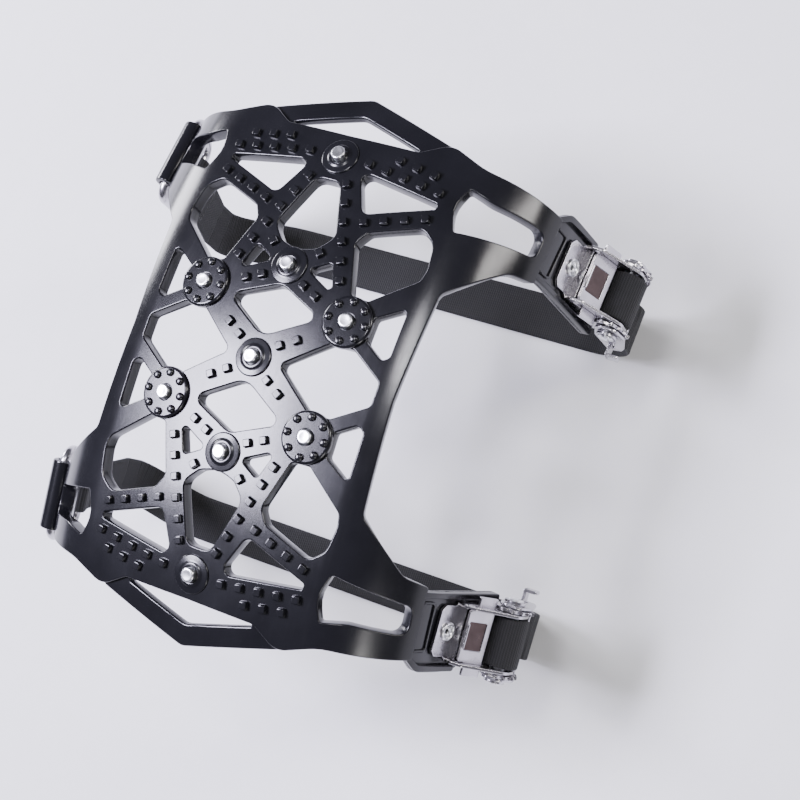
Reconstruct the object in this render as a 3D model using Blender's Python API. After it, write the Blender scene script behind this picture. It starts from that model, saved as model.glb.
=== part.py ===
"""Tyre snow chain: one moulded tread panel that straddles a tyre, with steel studs,
two ratchet buckles on its outer arms, two link rings on its inner arms and two webbing straps.

The panel is drawn flat, as (across, around) on the tread, and is then wrapped over the tyre.
X runs across the tyre with the wheel's outer face at +X, Y runs around the tyre, Z is up.
"""

import math

import bmesh
import bpy
from mathutils import Matrix, Vector

MM = 0.001

# The tyre that the panel is moulded for, measured on the panel's top face.
TREAD_RADIUS = 390 * MM
CROWN_RADIUS = 572 * MM
CROWN_HALF = 58.5 * MM
SHOULDER_RADIUS = 48 * MM
WALL_ANGLE = math.radians(78)
TOP_HEIGHT = 150 * MM
# The tread's middle lies this far towards the inner side, so that the whole part's box is centred.
TREAD_MIDDLE = -6.65 * MM

# Levels of the moulding, measured outwards from the panel's top face.
BODY_LOW = -6.5 * MM
BAR_LOW, BAR_HIGH = -6.2 * MM, -2.0 * MM
PAD_LOW, PAD_HIGH = -5.5 * MM, -2.5 * MM
HUB_HIGH = 2.0 * MM
RAIL_HIGH = -0.3 * MM

# Places on the flat panel.
HUB_ACROSS, HUB_AROUND = 37 * MM, 26 * MM
HUB_RADIUS = 11.7 * MM
BOSS_RADIUS, BOSS_TOP_RADIUS = 8.6 * MM, 6.6 * MM
NEAR_BOSS, FAR_BOSS = 43 * MM, 98 * MM
ARM_END = 108.5 * MM

# Studs.
STUD_RADIUS, STUD_HIGH = 3.3 * MM, 4.1 * MM
STUD_HOLE = 3.6 * MM
FLANGE_RADIUS, FLANGE_HOLE = 5.0 * MM, 5.3 * MM
FLANGE_LOW, FLANGE_HIGH = -6.2 * MM, -4.9 * MM

# Inner arm ends: a moulded barrel round the link ring's rod.
BARREL_ACROSS, BARREL_AROUND = -107 * MM, 92.5 * MM
BARREL_LIFT, BARREL_RADIUS, BARREL_LENGTH = 2.2 * MM, 5.4 * MM, 33 * MM
RING_WIRE, RING_BORE = 2.5 * MM, 2.8 * MM
RING_WIDTH, RING_DROP, RING_CORNER = 44 * MM, 24 * MM, 6 * MM

# Webbing.
WEB_WIDTH, WEB_THICK = 22 * MM, 1.6 * MM
EYE_END = 55 * MM
STRAP_FLOOR_AROUND = 74 * MM
STRAP_BEND = 30 * MM

# Ratchet buckle, in its own frame: X along it, Y across it, Z off the tyre's wall.
SEAT_ACROSS, SEAT_AROUND = 120.5 * MM, 96.2 * MM
BUCKLE_TILT = math.radians(9)
SPINDLE_X, SPINDLE_Z = 35.5 * MM, 10.5 * MM
SPINDLE_RADIUS, SPINDLE_HOLE = 3.5 * MM, 3.85 * MM
BASE_LOW, BASE_HIGH = -2.0 * MM, -0.5 * MM
SIDE_INSIDE, SIDE_OUTSIDE = 12.0 * MM, 13.5 * MM
WHEEL_INSIDE, WHEEL_OUTSIDE = 13.9 * MM, 15.4 * MM
GRIP_INSIDE, GRIP_OUTSIDE = 15.8 * MM, 17.0 * MM
CLIP_INSIDE, CLIP_OUTSIDE = 17.4 * MM, 18.6 * MM
SPINDLE_END = 19.2 * MM
ROLL_RADIUS = 9.0 * MM
TEETH, TOOTH_TIP, TOOTH_ROOT = 12, 9.5 * MM, 7.6 * MM
PAWL_START = 9.9 * MM
HANDLE_FOLD = math.radians(18)
LOCK_SLOPE = math.radians(15.5)
LOCK_END, LOCK_EAR_END, LOCK_TRAVEL = 23.5 * MM, 19.5 * MM, 4 * MM
PLATE = 1.5 * MM
RIVET_X = 7 * MM
RIVET_HOLE, RIVET_SHANK = 2.4 * MM, 2.1 * MM
GAP = 0.3 * MM

RUBBER = ("moulded_tpu", (0.012, 0.012, 0.014), 0.22, 0.0)
STEEL = ("stud_steel", (0.78, 0.79, 0.80), 0.25, 1.0)
CHROME = ("chrome_plate", (0.80, 0.79, 0.80), 0.12, 1.0)
SPRING = ("spring_steel", (0.55, 0.55, 0.57), 0.30, 1.0)
WEBBING = ("black_webbing", (0.015, 0.015, 0.016), 0.85, 0.0)


def clear_scene():
    for obj in list(bpy.data.objects):
        bpy.data.objects.remove(obj, do_unlink=True)


def material(look):
    name, colour, roughness, metallic = look
    found = bpy.data.materials.get(name)
    if found:
        return found
    made = bpy.data.materials.new(name)
    made.use_nodes = True
    shader = made.node_tree.nodes["Principled BSDF"]
    shader.inputs["Base Color"].default_value = (*colour, 1.0)
    shader.inputs["Roughness"].default_value = roughness
    shader.inputs["Metallic"].default_value = metallic
    return made


def object_from(bm, name, look, parent=None):
    """An object holding this bmesh, in its own material, under an optional parent."""
    bmesh.ops.recalc_face_normals(bm, faces=bm.faces)
    mesh = bpy.data.meshes.new(name)
    bm.to_mesh(mesh)
    bm.free()
    mesh.shade_smooth()
    mesh.set_sharp_from_angle(angle=math.radians(30))
    obj = bpy.data.objects.new(name, mesh)
    bpy.context.scene.collection.objects.link(obj)
    mesh.materials.append(material(look))
    obj.parent = parent
    return obj


def helper(bm, name, parent=None):
    """A cutter or a joining piece, left out of renders and of the finished part."""
    obj = object_from(bm, name, RUBBER, parent)
    obj.hide_render = True
    obj.display_type = "WIRE"
    return obj


def boolean(obj, other, operation):
    modifier = obj.modifiers.new(other.name, "BOOLEAN")
    modifier.operation = operation
    modifier.object = other


def empty(name, matrix, parent=None):
    made = bpy.data.objects.new(name, None)
    made.empty_display_size = 0.01
    bpy.context.scene.collection.objects.link(made)
    made.parent = parent
    made.matrix_local = matrix
    return made


def evaluated_bmesh(obj):
    """The object's mesh with its modifiers worked out."""
    bpy.context.view_layer.update()
    graph = bpy.context.evaluated_depsgraph_get()
    evaluated = obj.evaluated_get(graph)
    bm = bmesh.new()
    bm.from_mesh(evaluated.to_mesh())
    evaluated.to_mesh_clear()
    return bm


def rounded(corners, most_steps=2):
    """A closed outline from (x, y, radius) corners in millimetres, each corner turned as an arc."""
    outline = []
    count = len(corners)
    for i, (x, y, radius) in enumerate(corners):
        steps = most_steps if radius > 2.9 else 1
        here = Vector((x, y))
        if radius == 0:
            outline.append(here * MM)
            continue
        to_last = (Vector(corners[i - 1][:2]) - here).normalized()
        to_next = (Vector(corners[(i + 1) % count][:2]) - here).normalized()
        half = to_last.angle(to_next) / 2
        reach = radius / math.tan(half)
        centre = here + (to_last + to_next).normalized() * (radius / math.sin(half))
        start = here + to_last * reach - centre
        end = here + to_next * reach - centre
        sweep = start.angle_signed(end)
        for step in range(steps + 1):
            turn = Matrix.Rotation(-sweep * step / steps, 2)
            outline.append((centre + turn @ start) * MM)
    return outline


def circle(x, y, radius, sides=24):
    angles = [2 * math.pi * i / sides for i in range(sides)]
    return [Vector((x + radius * math.cos(a), y + radius * math.sin(a))) for a in angles]


def mirrored(outline, across, around):
    turned = [Vector((p.x * across, p.y * around)) for p in outline]
    return turned if across * around > 0 else turned[::-1]


def slab(loops, low, high):
    """A plate between two heights, filled between its outline and its holes."""
    bm = bmesh.new()
    for loop in loops:
        corners = [bm.verts.new((p.x, p.y, low)) for p in loop]
        for i, corner in enumerate(corners):
            bm.edges.new((corner, corners[(i + 1) % len(corners)]))
    bmesh.ops.triangle_fill(bm, edges=bm.edges, use_beauty=True)
    grown = bmesh.ops.extrude_face_region(bm, geom=bm.faces)["geom"]
    raised = [item for item in grown if isinstance(item, bmesh.types.BMVert)]
    bmesh.ops.translate(bm, verts=raised, vec=(0, 0, high - low))
    bmesh.ops.recalc_face_normals(bm, faces=bm.faces)
    return bm


def turned(profile, sides=20):
    """A solid of revolution about Z from (radius, height) points, closed back to its first point."""
    bm = bmesh.new()
    rings = []
    for radius, height in profile:
        if radius == 0:
            rings.append([bm.verts.new((0, 0, height))])
            continue
        ring = [bm.verts.new((p.x, p.y, height)) for p in circle(0, 0, radius, sides)]
        rings.append(ring)
    on_axis = len(rings[0]) == 1 or len(rings[-1]) == 1
    pairs = list(zip(rings, rings[1:])) + ([] if on_axis else [(rings[-1], rings[0])])
    for low, high in pairs:
        for i in range(sides):
            j = (i + 1) % sides
            corners = [low[i % len(low)], low[j % len(low)], high[j % len(high)], high[i % len(high)]]
            bm.faces.new(list(dict.fromkeys(corners)))
    return bm


def plate_across(outline, holes, inside, outside):
    """A plate in the XZ plane that spans Y from inside to outside."""
    bm = slab([outline, *holes], inside, outside)
    swap = Matrix(((1, 0, 0, 0), (0, 0, 1, 0), (0, 1, 0, 0), (0, 0, 0, 1)))
    bmesh.ops.transform(bm, matrix=swap, verts=bm.verts)
    bmesh.ops.recalc_face_normals(bm, faces=bm.faces)
    return bm


def block(low, high):
    bm = bmesh.new()
    size = [b - a for a, b in zip(low, high)]
    middle = [(a + b) / 2 for a, b in zip(low, high)]
    bmesh.ops.create_cube(bm, size=1, matrix=Matrix.Translation(middle) @ Matrix.Diagonal((*size, 1)))
    return bm


def rod_across(x, z, radius, inside, outside, sides=24):
    return plate_across(circle(x, z, radius, sides), [], inside, outside)


# The tyre's form


def section(across, height):
    """(x, z) on the tyre's section at an arc length from its middle, and the outward normal's angle."""
    side = -1 if across < 0 else 1
    along = abs(across)
    lean = min(along, CROWN_HALF) / CROWN_RADIUS
    x = CROWN_RADIUS * math.sin(lean)
    z = CROWN_RADIUS * (math.cos(lean) - 1)
    if along > CROWN_HALF:
        x -= SHOULDER_RADIUS * math.sin(lean)
        z -= SHOULDER_RADIUS * math.cos(lean)
        turn = lean + (along - CROWN_HALF) / SHOULDER_RADIUS
        lean = min(turn, WALL_ANGLE)
        down_wall = (turn - lean) * SHOULDER_RADIUS
        x += SHOULDER_RADIUS * math.sin(lean) + down_wall * math.cos(lean)
        z += SHOULDER_RADIUS * math.cos(lean) - down_wall * math.sin(lean)
    return side * (x + height * math.sin(lean)), z + height * math.cos(lean)


def wrap(across, around, height):
    """The place in space of a point on the flat panel."""
    x, z = section(across, height)
    angle = around / TREAD_RADIUS
    radius = TREAD_RADIUS + z
    lift = radius * math.cos(angle) - TREAD_RADIUS + TOP_HEIGHT
    return Vector((x + TREAD_MIDDLE, radius * math.sin(angle), lift))


# The moulded panel


def body_outline():
    quarter = [
        (34, 110, 6), (47, 118, 10), (66, 110.8, 30), (ARM_END / MM, 110.5, 1.5), (ARM_END / MM, 75, 1.5),
        (95, 72, 12), (71, 50.5, 5), (68.6, 0, 0),
    ]
    right = [p for p in rounded([(0, 109.5, 0), *quarter, (0, 0, 0)]) if p.x > 1e-6]
    right = [Vector((0, 109.5 * MM)), *right]
    lower = [Vector((p.x, -p.y)) for p in right[::-1] if p.y > 1e-6]
    half = right + lower
    return half + [Vector((-p.x, p.y)) for p in half[::-1] if p.x > 1e-6]


def quarter_holes(slot_end):
    """The openings of one quarter of the panel; slot_end is how far out the arm's slot runs."""
    large = [(25.5, 60.5, 5), (29.5, 67, 4), (52, 75.5, 5), (59.5, 70, 8), (61.5, 58, 8), (60.5, 52.5, 4),
             (42, 37.5, 2), (33.5, 38, 2)]
    wedge = [(13.8, 91.5, 3.5), (18, 93.2, 3), (53, 88.4, 1.2), (53.5, 85.8, 1.2), (22.5, 74.2, 4)]
    small = [(9.2, 43.6, 1.6), (19.3, 49.3, 1.6), (24.6, 36, 1.6)]
    edge = [(60.6, 39.5, 2), (48.2, 31.5, 2), (48.2, 20.5, 2), (57.5, 14.6, 2.5), (60.6, 17, 2.5)]
    slot = [(64, 99.6, 1.5), (76, 97.2, 20), (slot_end, 98.6, 5), (slot_end, 85.2, 4), (65, 78.4, 1.5),
            (60.4, 89.5, 14)]
    return [large, wedge, small, edge, slot]


def panel_openings():
    """Every opening that goes through the panel, as (name, outline) on the flat panel."""
    found = []
    for across in (1, -1):
        for around in (1, -1):
            for corners in quarter_holes(103 if across > 0 else 99.5):
                found.append(mirrored(rounded(corners), across, around))
    upper = [(0, 34.2, 7), (23.5, 24, 3), (0, 10, 9), (-23.5, 24, 3)]
    crown = [(6, 86, 5), (15.5, 60.5, 6), (9, 53.6, 5), (0, 50.8, 14), (-9, 53.6, 5), (-15.5, 60.5, 6), (-6, 86, 5)]
    side = [(13, 0, 2.5), (33, 15.2, 2), (44, 15.6, 2), (59.8, 5.4, 3), (59.8, -5.4, 3), (44, -15.6, 2),
            (33, -15.2, 2)]
    for around in (1, -1):
        found.append(mirrored(rounded(upper), 1, around))
        found.append(mirrored(rounded(crown), 1, around))
    for across in (1, -1):
        found.append(mirrored(rounded(side), across, 1))
    return found


def stud_places():
    places = [(0.0, 0.0)]
    for around in (1, -1):
        places.append((0.0, around * NEAR_BOSS))
        places.append((0.0, around * FAR_BOSS))
        for across in (1, -1):
            places.append((across * HUB_ACROSS, around * HUB_AROUND))
    return places


def gathered(solids):
    """Several solids that don't meet, as one mesh."""
    whole = bmesh.new()
    for bm, place in solids:
        bmesh.ops.translate(bm, verts=bm.verts, vec=place)
        bmesh.ops.recalc_face_normals(bm, faces=bm.faces)
        copies = {vertex: whole.verts.new(vertex.co) for vertex in bm.verts}
        for face in bm.faces:
            whole.faces.new([copies[vertex] for vertex in face.verts])
        bm.free()
    return whole


def raised_discs():
    """The hub discs and the small conical bosses that the studs stand in."""
    low = -1 * MM
    hub = [(0, low), (HUB_RADIUS, low), (HUB_RADIUS, HUB_HIGH - 0.5 * MM), (HUB_RADIUS - 0.5 * MM, HUB_HIGH),
           (0, HUB_HIGH)]
    boss = [(0, low), (BOSS_RADIUS, low), (BOSS_RADIUS, 0.7 * MM), (BOSS_TOP_RADIUS, HUB_HIGH), (0, HUB_HIGH)]
    return gathered([(turned(hub if x else boss), (x, y, 0)) for x, y in stud_places()])


def stud_cutters():
    low, high = BODY_LOW - 1 * MM, HUB_HIGH + 1 * MM
    step = FLANGE_HIGH + GAP
    hole = [(0, low), (FLANGE_HOLE, low), (FLANGE_HOLE, step), (STUD_HOLE, step), (STUD_HOLE, high), (0, high)]
    return gathered([(turned(hole, 14), (x, y, 0)) for x, y in stud_places()])


def flat_additions():
    """The plates that are moulded onto the body: end bars, buckle pads and their side rails, barrels."""
    bar = rounded([(0, 131.6, 6), (48, 117.6, 3), (48, 108, 2), (-48, 108, 2), (-48, 117.6, 3)])
    bar_hole = rounded([(0, 121.2, 6), (33, 111.6, 1.2), (31.5, 110, 1), (-31.5, 110, 1), (-33, 111.6, 1.2)])
    pad = rounded([(104, 77.5, 1), (160, 77.5, 3), (163, 86, 5), (142, 119.5, 3), (136, 119.8, 2), (112, 116.8, 6),
                   (104, 109, 1)])
    near_rail = rounded([(104, 77.5, 1), (160, 77.5, 1.5), (160, 81.3, 1.5), (104, 80, 1)])
    far_rail = rounded([(104, 105, 1), (113, 113, 4), (138, 116.4, 1), (138, 119.6, 1.4), (112, 116.5, 6),
                        (104, 108.7, 1)])
    plates = {
        "bars": ([bar, bar_hole], BAR_LOW, BAR_HIGH),
        "pads": ([pad], PAD_LOW, PAD_HIGH),
        "near_rails": ([near_rail], PAD_LOW + GAP, RAIL_HIGH),
        "far_rails": ([far_rail], PAD_LOW + GAP, RAIL_HIGH),
    }
    pieces = []
    for name, (loops, low, high) in plates.items():
        pair = [(slab([mirrored(loop, 1, around) for loop in loops], low, high), (0, 0, 0)) for around in (1, -1)]
        pieces.append(helper(gathered(pair), name))
    half = BARREL_LENGTH / 2
    barrels = [(rod_across(BARREL_ACROSS, BARREL_LIFT, BARREL_RADIUS, -half, half, 20), (0, y * BARREL_AROUND, 0))
               for y in (1, -1)]
    pieces.append(helper(gathered(barrels), "barrels"))
    pieces.append(helper(raised_discs(), "raised_discs"))
    return pieces


def cut_lines():
    """Straight lines that the flat panel is divided along, close together where the tyre curves sharply."""
    crown = [0, 19.5, 39, 58.5]
    shoulder = [58.5 + 7.55 * i for i in range(1, 9)]
    around = [20 * i for i in range(7)]
    return crown + shoulder, around


def divide(bm):
    across, around = cut_lines()
    for normal, places in (((1, 0, 0), across), ((0, 1, 0), around)):
        for place in places:
            for side in (1, -1):
                if side < 0 and place == 0:
                    continue
                geometry = bm.verts[:] + bm.edges[:] + bm.faces[:]
                point = Vector(normal) * (side * place * MM)
                cut = bmesh.ops.bisect_plane(bm, geom=geometry, dist=1e-6, plane_co=point, plane_no=normal)
                for item in cut["geom_cut"]:
                    if isinstance(item, bmesh.types.BMEdge):
                        item.seam = True
    bmesh.ops.dissolve_limit(bm, angle_limit=0.002, verts=bm.verts, edges=bm.edges, delimit={"SEAM"})
    bmesh.ops.triangulate(bm, faces=bm.faces)


def tread_panel():
    flat = helper(slab([body_outline(), *panel_openings()], BODY_LOW, 0), "flat_panel")
    for piece in flat_additions():
        boolean(flat, piece, "UNION")
    boolean(flat, helper(stud_cutters(), "stud_holes"), "DIFFERENCE")
    bm = evaluated_bmesh(flat)
    bmesh.ops.remove_doubles(bm, verts=bm.verts, dist=2e-6)
    divide(bm)
    for vertex in bm.verts:
        vertex.co = wrap(*vertex.co)
    panel = object_from(bm, "tread_panel", RUBBER)
    for around in (1, -1):
        bore = rod_across(0, 0, RING_BORE, -BARREL_LENGTH, BARREL_LENGTH)
        boolean(panel, helper(bore, f"ring_bore_{around}", seat(around, ring_matrix)), "DIFFERENCE")
        hole = turned([(0, -9 * MM), (RIVET_HOLE, -9 * MM), (RIVET_HOLE, 3 * MM), (0, 3 * MM)], 16)
        cutter = helper(hole, f"rivet_hole_{around}", seat(around, buckle_matrix))
        cutter.location = (RIVET_X, 0, 0)
        boolean(panel, cutter, "DIFFERENCE")
    return panel


def studs():
    profile = [(0, FLANGE_LOW), (FLANGE_RADIUS, FLANGE_LOW), (FLANGE_RADIUS, FLANGE_HIGH),
               (STUD_RADIUS, FLANGE_HIGH), (STUD_RADIUS, STUD_HIGH - 0.7 * MM),
               (STUD_RADIUS - 0.6 * MM, STUD_HIGH), (0, STUD_HIGH)]
    shared = None
    for number, (across, around) in enumerate(stud_places(), 1):
        name = f"stud_{number}"
        if shared is None:
            shared = object_from(turned(profile, 14), name, STEEL)
            stud = shared
        else:
            stud = bpy.data.objects.new(name, shared.data)
            bpy.context.scene.collection.objects.link(stud)
        middle = wrap(across, around, 0)
        outward = (wrap(across, around, MM) - middle).normalized()
        stud.matrix_world = Matrix.Translation(middle) @ outward.to_track_quat("Z", "Y").to_matrix().to_4x4()


# Seats: frames on the arm ends that the hardware is built in


def wall_frame(origin, side, tilt):
    """A frame with X down the tyre's wall, Y around the tyre and Z off the wall."""
    down = Vector((side * math.cos(WALL_ANGLE), 0, -math.sin(WALL_ANGLE)))
    off = Vector((side * math.sin(WALL_ANGLE), 0, math.cos(WALL_ANGLE)))
    around = off.cross(down)
    turn = Matrix.Rotation(-tilt, 3, "X")
    axes = [turn @ axis for axis in (down, around, off)]
    frame = Matrix((axes[0], axes[1], axes[2])).transposed().to_4x4()
    return Matrix.Translation(origin) @ frame


def buckle_matrix(around):
    return wall_frame(wrap(SEAT_ACROSS, around * SEAT_AROUND, 0), 1, around * BUCKLE_TILT)


def ring_matrix(around):
    tilt = around * BARREL_AROUND / TREAD_RADIUS
    return wall_frame(wrap(BARREL_ACROSS, around * BARREL_AROUND, BARREL_LIFT), -1, tilt)


def seat(around, matrix_of):
    name = f"{matrix_of.__name__}_{1 if around > 0 else 2}"
    return bpy.data.objects.get(name) or empty(name, matrix_of(around))


# The ratchet buckle


def ratchet_frame(number, at):
    base = rounded([(0, -9, 0), (2.5, -11.5, 0), (9, -11.5, 0), (11, -13.5, 0), (16.5, -13.5, 0), (16.5, 13.5, 0),
                    (11, 13.5, 0), (9, 11.5, 0), (2.5, 11.5, 0), (0, 9, 0)])
    hole = circle(RIVET_X, 0, RIVET_HOLE, 16)
    frame = object_from(slab([base, hole], BASE_LOW, BASE_HIGH), f"ratchet_frame_{number}", CHROME, at)
    side = rounded([(11, -2, 0), (38, -2, 3), (43, 5, 4), (43, 16, 6.5), (32, 18.5, 6), (12, 8, 2.5), (9.8, 3, 2)])
    wall = block((12.4 * MM, -4 * MM, BASE_LOW + GAP), (13.6 * MM, 4 * MM, 2.9 * MM))
    boolean(frame, helper(wall, f"spring_wall_{number}", at), "UNION")
    for name, across in (("left", 1), ("right", -1)):
        spindle_hole = circle(SPINDLE_X, SPINDLE_Z, SPINDLE_HOLE, 20)
        edges = sorted((across * SIDE_INSIDE, across * SIDE_OUTSIDE))
        plate = plate_across(side, [spindle_hole], *edges)
        boolean(frame, helper(plate, f"side_{name}_{number}", at), "UNION")
    slot = block((PAWL_START - 0.5 * MM, -20 * MM, -1.15 * MM),
                 (LOCK_EAR_END + LOCK_TRAVEL + 0.5 * MM, 20 * MM, 1.15 * MM))
    slot_cutter = helper(slot, f"lock_slot_{number}", at)
    slot_cutter.matrix_local = lock_matrix()
    boolean(frame, slot_cutter, "DIFFERENCE")


def lock_matrix():
    """A frame on the spindle's axis with X pointing out along the locking plate."""
    turn = Matrix.Rotation(math.pi - LOCK_SLOPE, 4, "Y")
    return Matrix.Translation((SPINDLE_X, 0, SPINDLE_Z)) @ turn @ Matrix.Rotation(math.pi, 4, "X")


def lock_plate(number, at):
    """The sprung plate whose ears reach through the frame's slots to the two toothed wheels."""
    slide = empty(f"lock_slide_{number}", lock_matrix(), at)
    start, ears, end = PAWL_START / MM, LOCK_EAR_END / MM, LOCK_END / MM
    half = [(start, 17.8, 0), (ears, 17.8, 0), (ears, 11.6, 0), (end, 11.6, 1.5)]
    outline = [(x, -y, r) for x, y, r in half] + half[::-1]
    plate = object_from(slab([rounded(outline)], -PLATE / 2, PLATE / 2), f"lock_plate_{number}", CHROME, slide)
    tab = block((11 * MM, -4 * MM, -4.4 * MM), (12.2 * MM, 4 * MM, 0))
    lip = block((LOCK_END - 1 * MM, -5.5 * MM, 0), (LOCK_END - 0.1 * MM, 5.5 * MM, 2.0 * MM))
    window = block((12.4 * MM, -6 * MM, 0.2 * MM), (21 * MM, 6 * MM, 3 * MM))
    boolean(plate, helper(tab, f"lock_tab_{number}", slide), "UNION")
    boolean(plate, helper(lip, f"lock_lip_{number}", slide), "UNION")
    boolean(plate, helper(window, f"lock_window_{number}", slide), "DIFFERENCE")
    coil(f"lock_spring_{number}", slide, 12.6 * MM, 21.6 * MM, -2.9 * MM, 5)


def coil(name, parent, start, end, height, turns):
    """A compression spring along X from start to end."""
    radius, wire, steps = 1.4 * MM, 0.3 * MM, 8
    curve = bpy.data.curves.new(name, "CURVE")
    curve.dimensions = "3D"
    curve.bevel_depth = wire
    curve.bevel_resolution = 0
    curve.use_fill_caps = True
    spline = curve.splines.new("POLY")
    count = turns * steps
    spline.points.add(count)
    for i in range(count + 1):
        angle = 2 * math.pi * i / steps
        along = start + wire + (end - start - 2 * wire) * i / count
        spline.points[i].co = (along, radius * math.cos(angle), height + radius * math.sin(angle), 1)
    obj = bpy.data.objects.new(name, curve)
    bpy.context.scene.collection.objects.link(obj)
    curve.materials.append(material(SPRING))
    obj.parent = parent


def spindle(number, at):
    """The slotted shaft that winds the webbing, with its two toothed wheels and end clips."""
    axis = empty(f"spindle_axis_{number}", Matrix.Translation((SPINDLE_X, 0, SPINDLE_Z)), at)
    shaft = rod_across(0, 0, SPINDLE_RADIUS, -SPINDLE_END, SPINDLE_END, 20)
    shaft = object_from(shaft, f"spindle_{number}", STEEL, axis)
    slot = block((-6 * MM, -11.5 * MM, -1.1 * MM), (6 * MM, 11.5 * MM, 1.1 * MM))
    boolean(shaft, helper(slot, f"web_slot_{number}", axis), "DIFFERENCE")
    tooth = 2 * math.pi / TEETH
    wheel = []
    for i in range(TEETH):
        for radius, angle in ((TOOTH_ROOT, i * tooth), (TOOTH_TIP, (i + 0.8) * tooth), (TOOTH_TIP, (i + 0.97) * tooth)):
            wheel.append(Vector((radius * math.cos(angle), radius * math.sin(angle))))
    bore = circle(0, 0, SPINDLE_RADIUS + GAP, 20)
    for name, across in (("left", 1), ("right", -1)):
        edges = sorted((across * WHEEL_INSIDE, across * WHEEL_OUTSIDE))
        object_from(plate_across(wheel, [bore], *edges), f"ratchet_wheel_{name}_{number}", CHROME, axis)
        edges = sorted((across * CLIP_INSIDE, across * CLIP_OUTSIDE))
        clip = plate_across(circle(0, 0, 4.8 * MM, 16), [bore], *edges)
        object_from(clip, f"spindle_clip_{name}_{number}", CHROME, axis)
    roll = plate_across(circle(0, 0, ROLL_RADIUS, 24), [bore], -WEB_WIDTH / 2, WEB_WIDTH / 2)
    object_from(roll, f"wound_webbing_{number}", WEBBING, axis)


def handle(number, at, around):
    """The pull-over handle with its sprung driving pawl, folded down along the strap."""
    folded = Matrix.Translation((SPINDLE_X, 0, SPINDLE_Z)) @ Matrix.Rotation(HANDLE_FOLD, 4, "Y")
    axis = empty(f"handle_axis_{number}", folded, at)
    grip_outline = [(16.9, 3.2, 0), (18.2, 3.7, 0), (20.9, -2.4, 0), (19.6, -2.9, 0)]
    grip = plate_across(rounded(grip_outline), [], -GRIP_OUTSIDE, GRIP_OUTSIDE)
    grip = object_from(grip, f"handle_{number}", CHROME, axis)
    arm = rounded([(-7, 5, 4), (2, 8, 5), (15, 5.6, 3), (18.6, 3.9, 0.8), (21.4, -2.6, 0.8), (19.4, -3.6, 1.2),
                   (5, -7, 4), (-7, -5, 4)])
    bore = circle(0, 0, SPINDLE_HOLE, 20)
    for name, across in (("left", 1), ("right", -1)):
        edges = sorted((across * GRIP_INSIDE, across * GRIP_OUTSIDE))
        boolean(grip, helper(plate_across(arm, [bore], *edges), f"arm_{name}_{number}", axis), "UNION")
    slot = block((PAWL_START - 0.5 * MM, -20 * MM, -1.1 * MM), (16.8 * MM, 20 * MM, 1.1 * MM))
    boolean(grip, helper(slot, f"pawl_slot_{number}", axis), "DIFFERENCE")
    pawl = block((PAWL_START, -18.4 * MM, -PLATE / 2), (13.2 * MM, 18.4 * MM, PLATE / 2))
    pawl = object_from(pawl, f"drive_pawl_{number}", CHROME, axis)
    tab = sorted((-around * 17.6 * MM, -around * 23.5 * MM))
    finger = block((PAWL_START + 0.4 * MM, tab[0], -0.7 * MM), (15.6 * MM, tab[1], 0.7 * MM))
    boolean(pawl, helper(finger, f"finger_{number}", axis), "UNION")
    rise = sorted((-around * 22 * MM, -around * 23.4 * MM))
    upstand = block((PAWL_START + 0.5 * MM, rise[0], -0.6 * MM), (15.5 * MM, rise[1], 5.5 * MM))
    boolean(pawl, helper(upstand, f"upstand_{number}", axis), "UNION")
    coil(f"pawl_spring_{number}", axis, 13.5 * MM, 17.2 * MM, 0, 3)


def rivet(number, at):
    """A tubular rivet through the buckle's base and the pad, closed over a washer behind the pad."""
    hollow = 1.2 * MM
    head, shoulder = 4.2 * MM, BASE_HIGH + GAP
    tail_high, tail_low = -6.9 * MM, -7.7 * MM
    profile = [(hollow, tail_low), (3.6 * MM, tail_low), (3.6 * MM, tail_high), (RIVET_SHANK, tail_high),
               (RIVET_SHANK, shoulder), (head, shoulder), (head, shoulder + 0.6 * MM),
               (head - 0.8 * MM, shoulder + 1.3 * MM), (hollow + 1 * MM, shoulder + 1.3 * MM),
               (hollow, shoulder + 0.4 * MM)]
    rivet_object = object_from(turned(profile, 16), f"rivet_{number}", CHROME, at)
    rivet_object.location = (RIVET_X, 0, 0)
    profile = [(RIVET_HOLE, -6.6 * MM), (5.5 * MM, -6.6 * MM), (5.5 * MM, -5.8 * MM), (RIVET_HOLE, -5.8 * MM)]
    washer = object_from(turned(profile, 16), f"rivet_washer_{number}", STEEL, at)
    washer.location = (RIVET_X, 0, 0)


# The inner link ring and the webbing


def link_ring(number, at):
    """A closed wire ring whose top rod turns in the arm's moulded barrel."""
    half = RING_WIDTH / 2 / MM
    drop = RING_DROP / MM
    corner = RING_CORNER / MM
    path = rounded([(0, -half, corner), (0, half, corner), (drop, half - 5, corner), (drop, 5 - half, corner)], 3)
    curve = bpy.data.curves.new(f"link_ring_{number}", "CURVE")
    curve.dimensions = "3D"
    curve.bevel_depth = RING_WIRE
    curve.bevel_resolution = 2
    spline = curve.splines.new("POLY")
    spline.points.add(len(path) - 1)
    for point, place in zip(spline.points, path):
        point.co = (place.x, place.y, 0, 1)
    spline.use_cyclic_u = True
    ring = bpy.data.objects.new(f"link_ring_{number}", curve)
    bpy.context.scene.collection.objects.link(ring)
    curve.materials.append(material(CHROME))
    ring.parent = at


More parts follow.
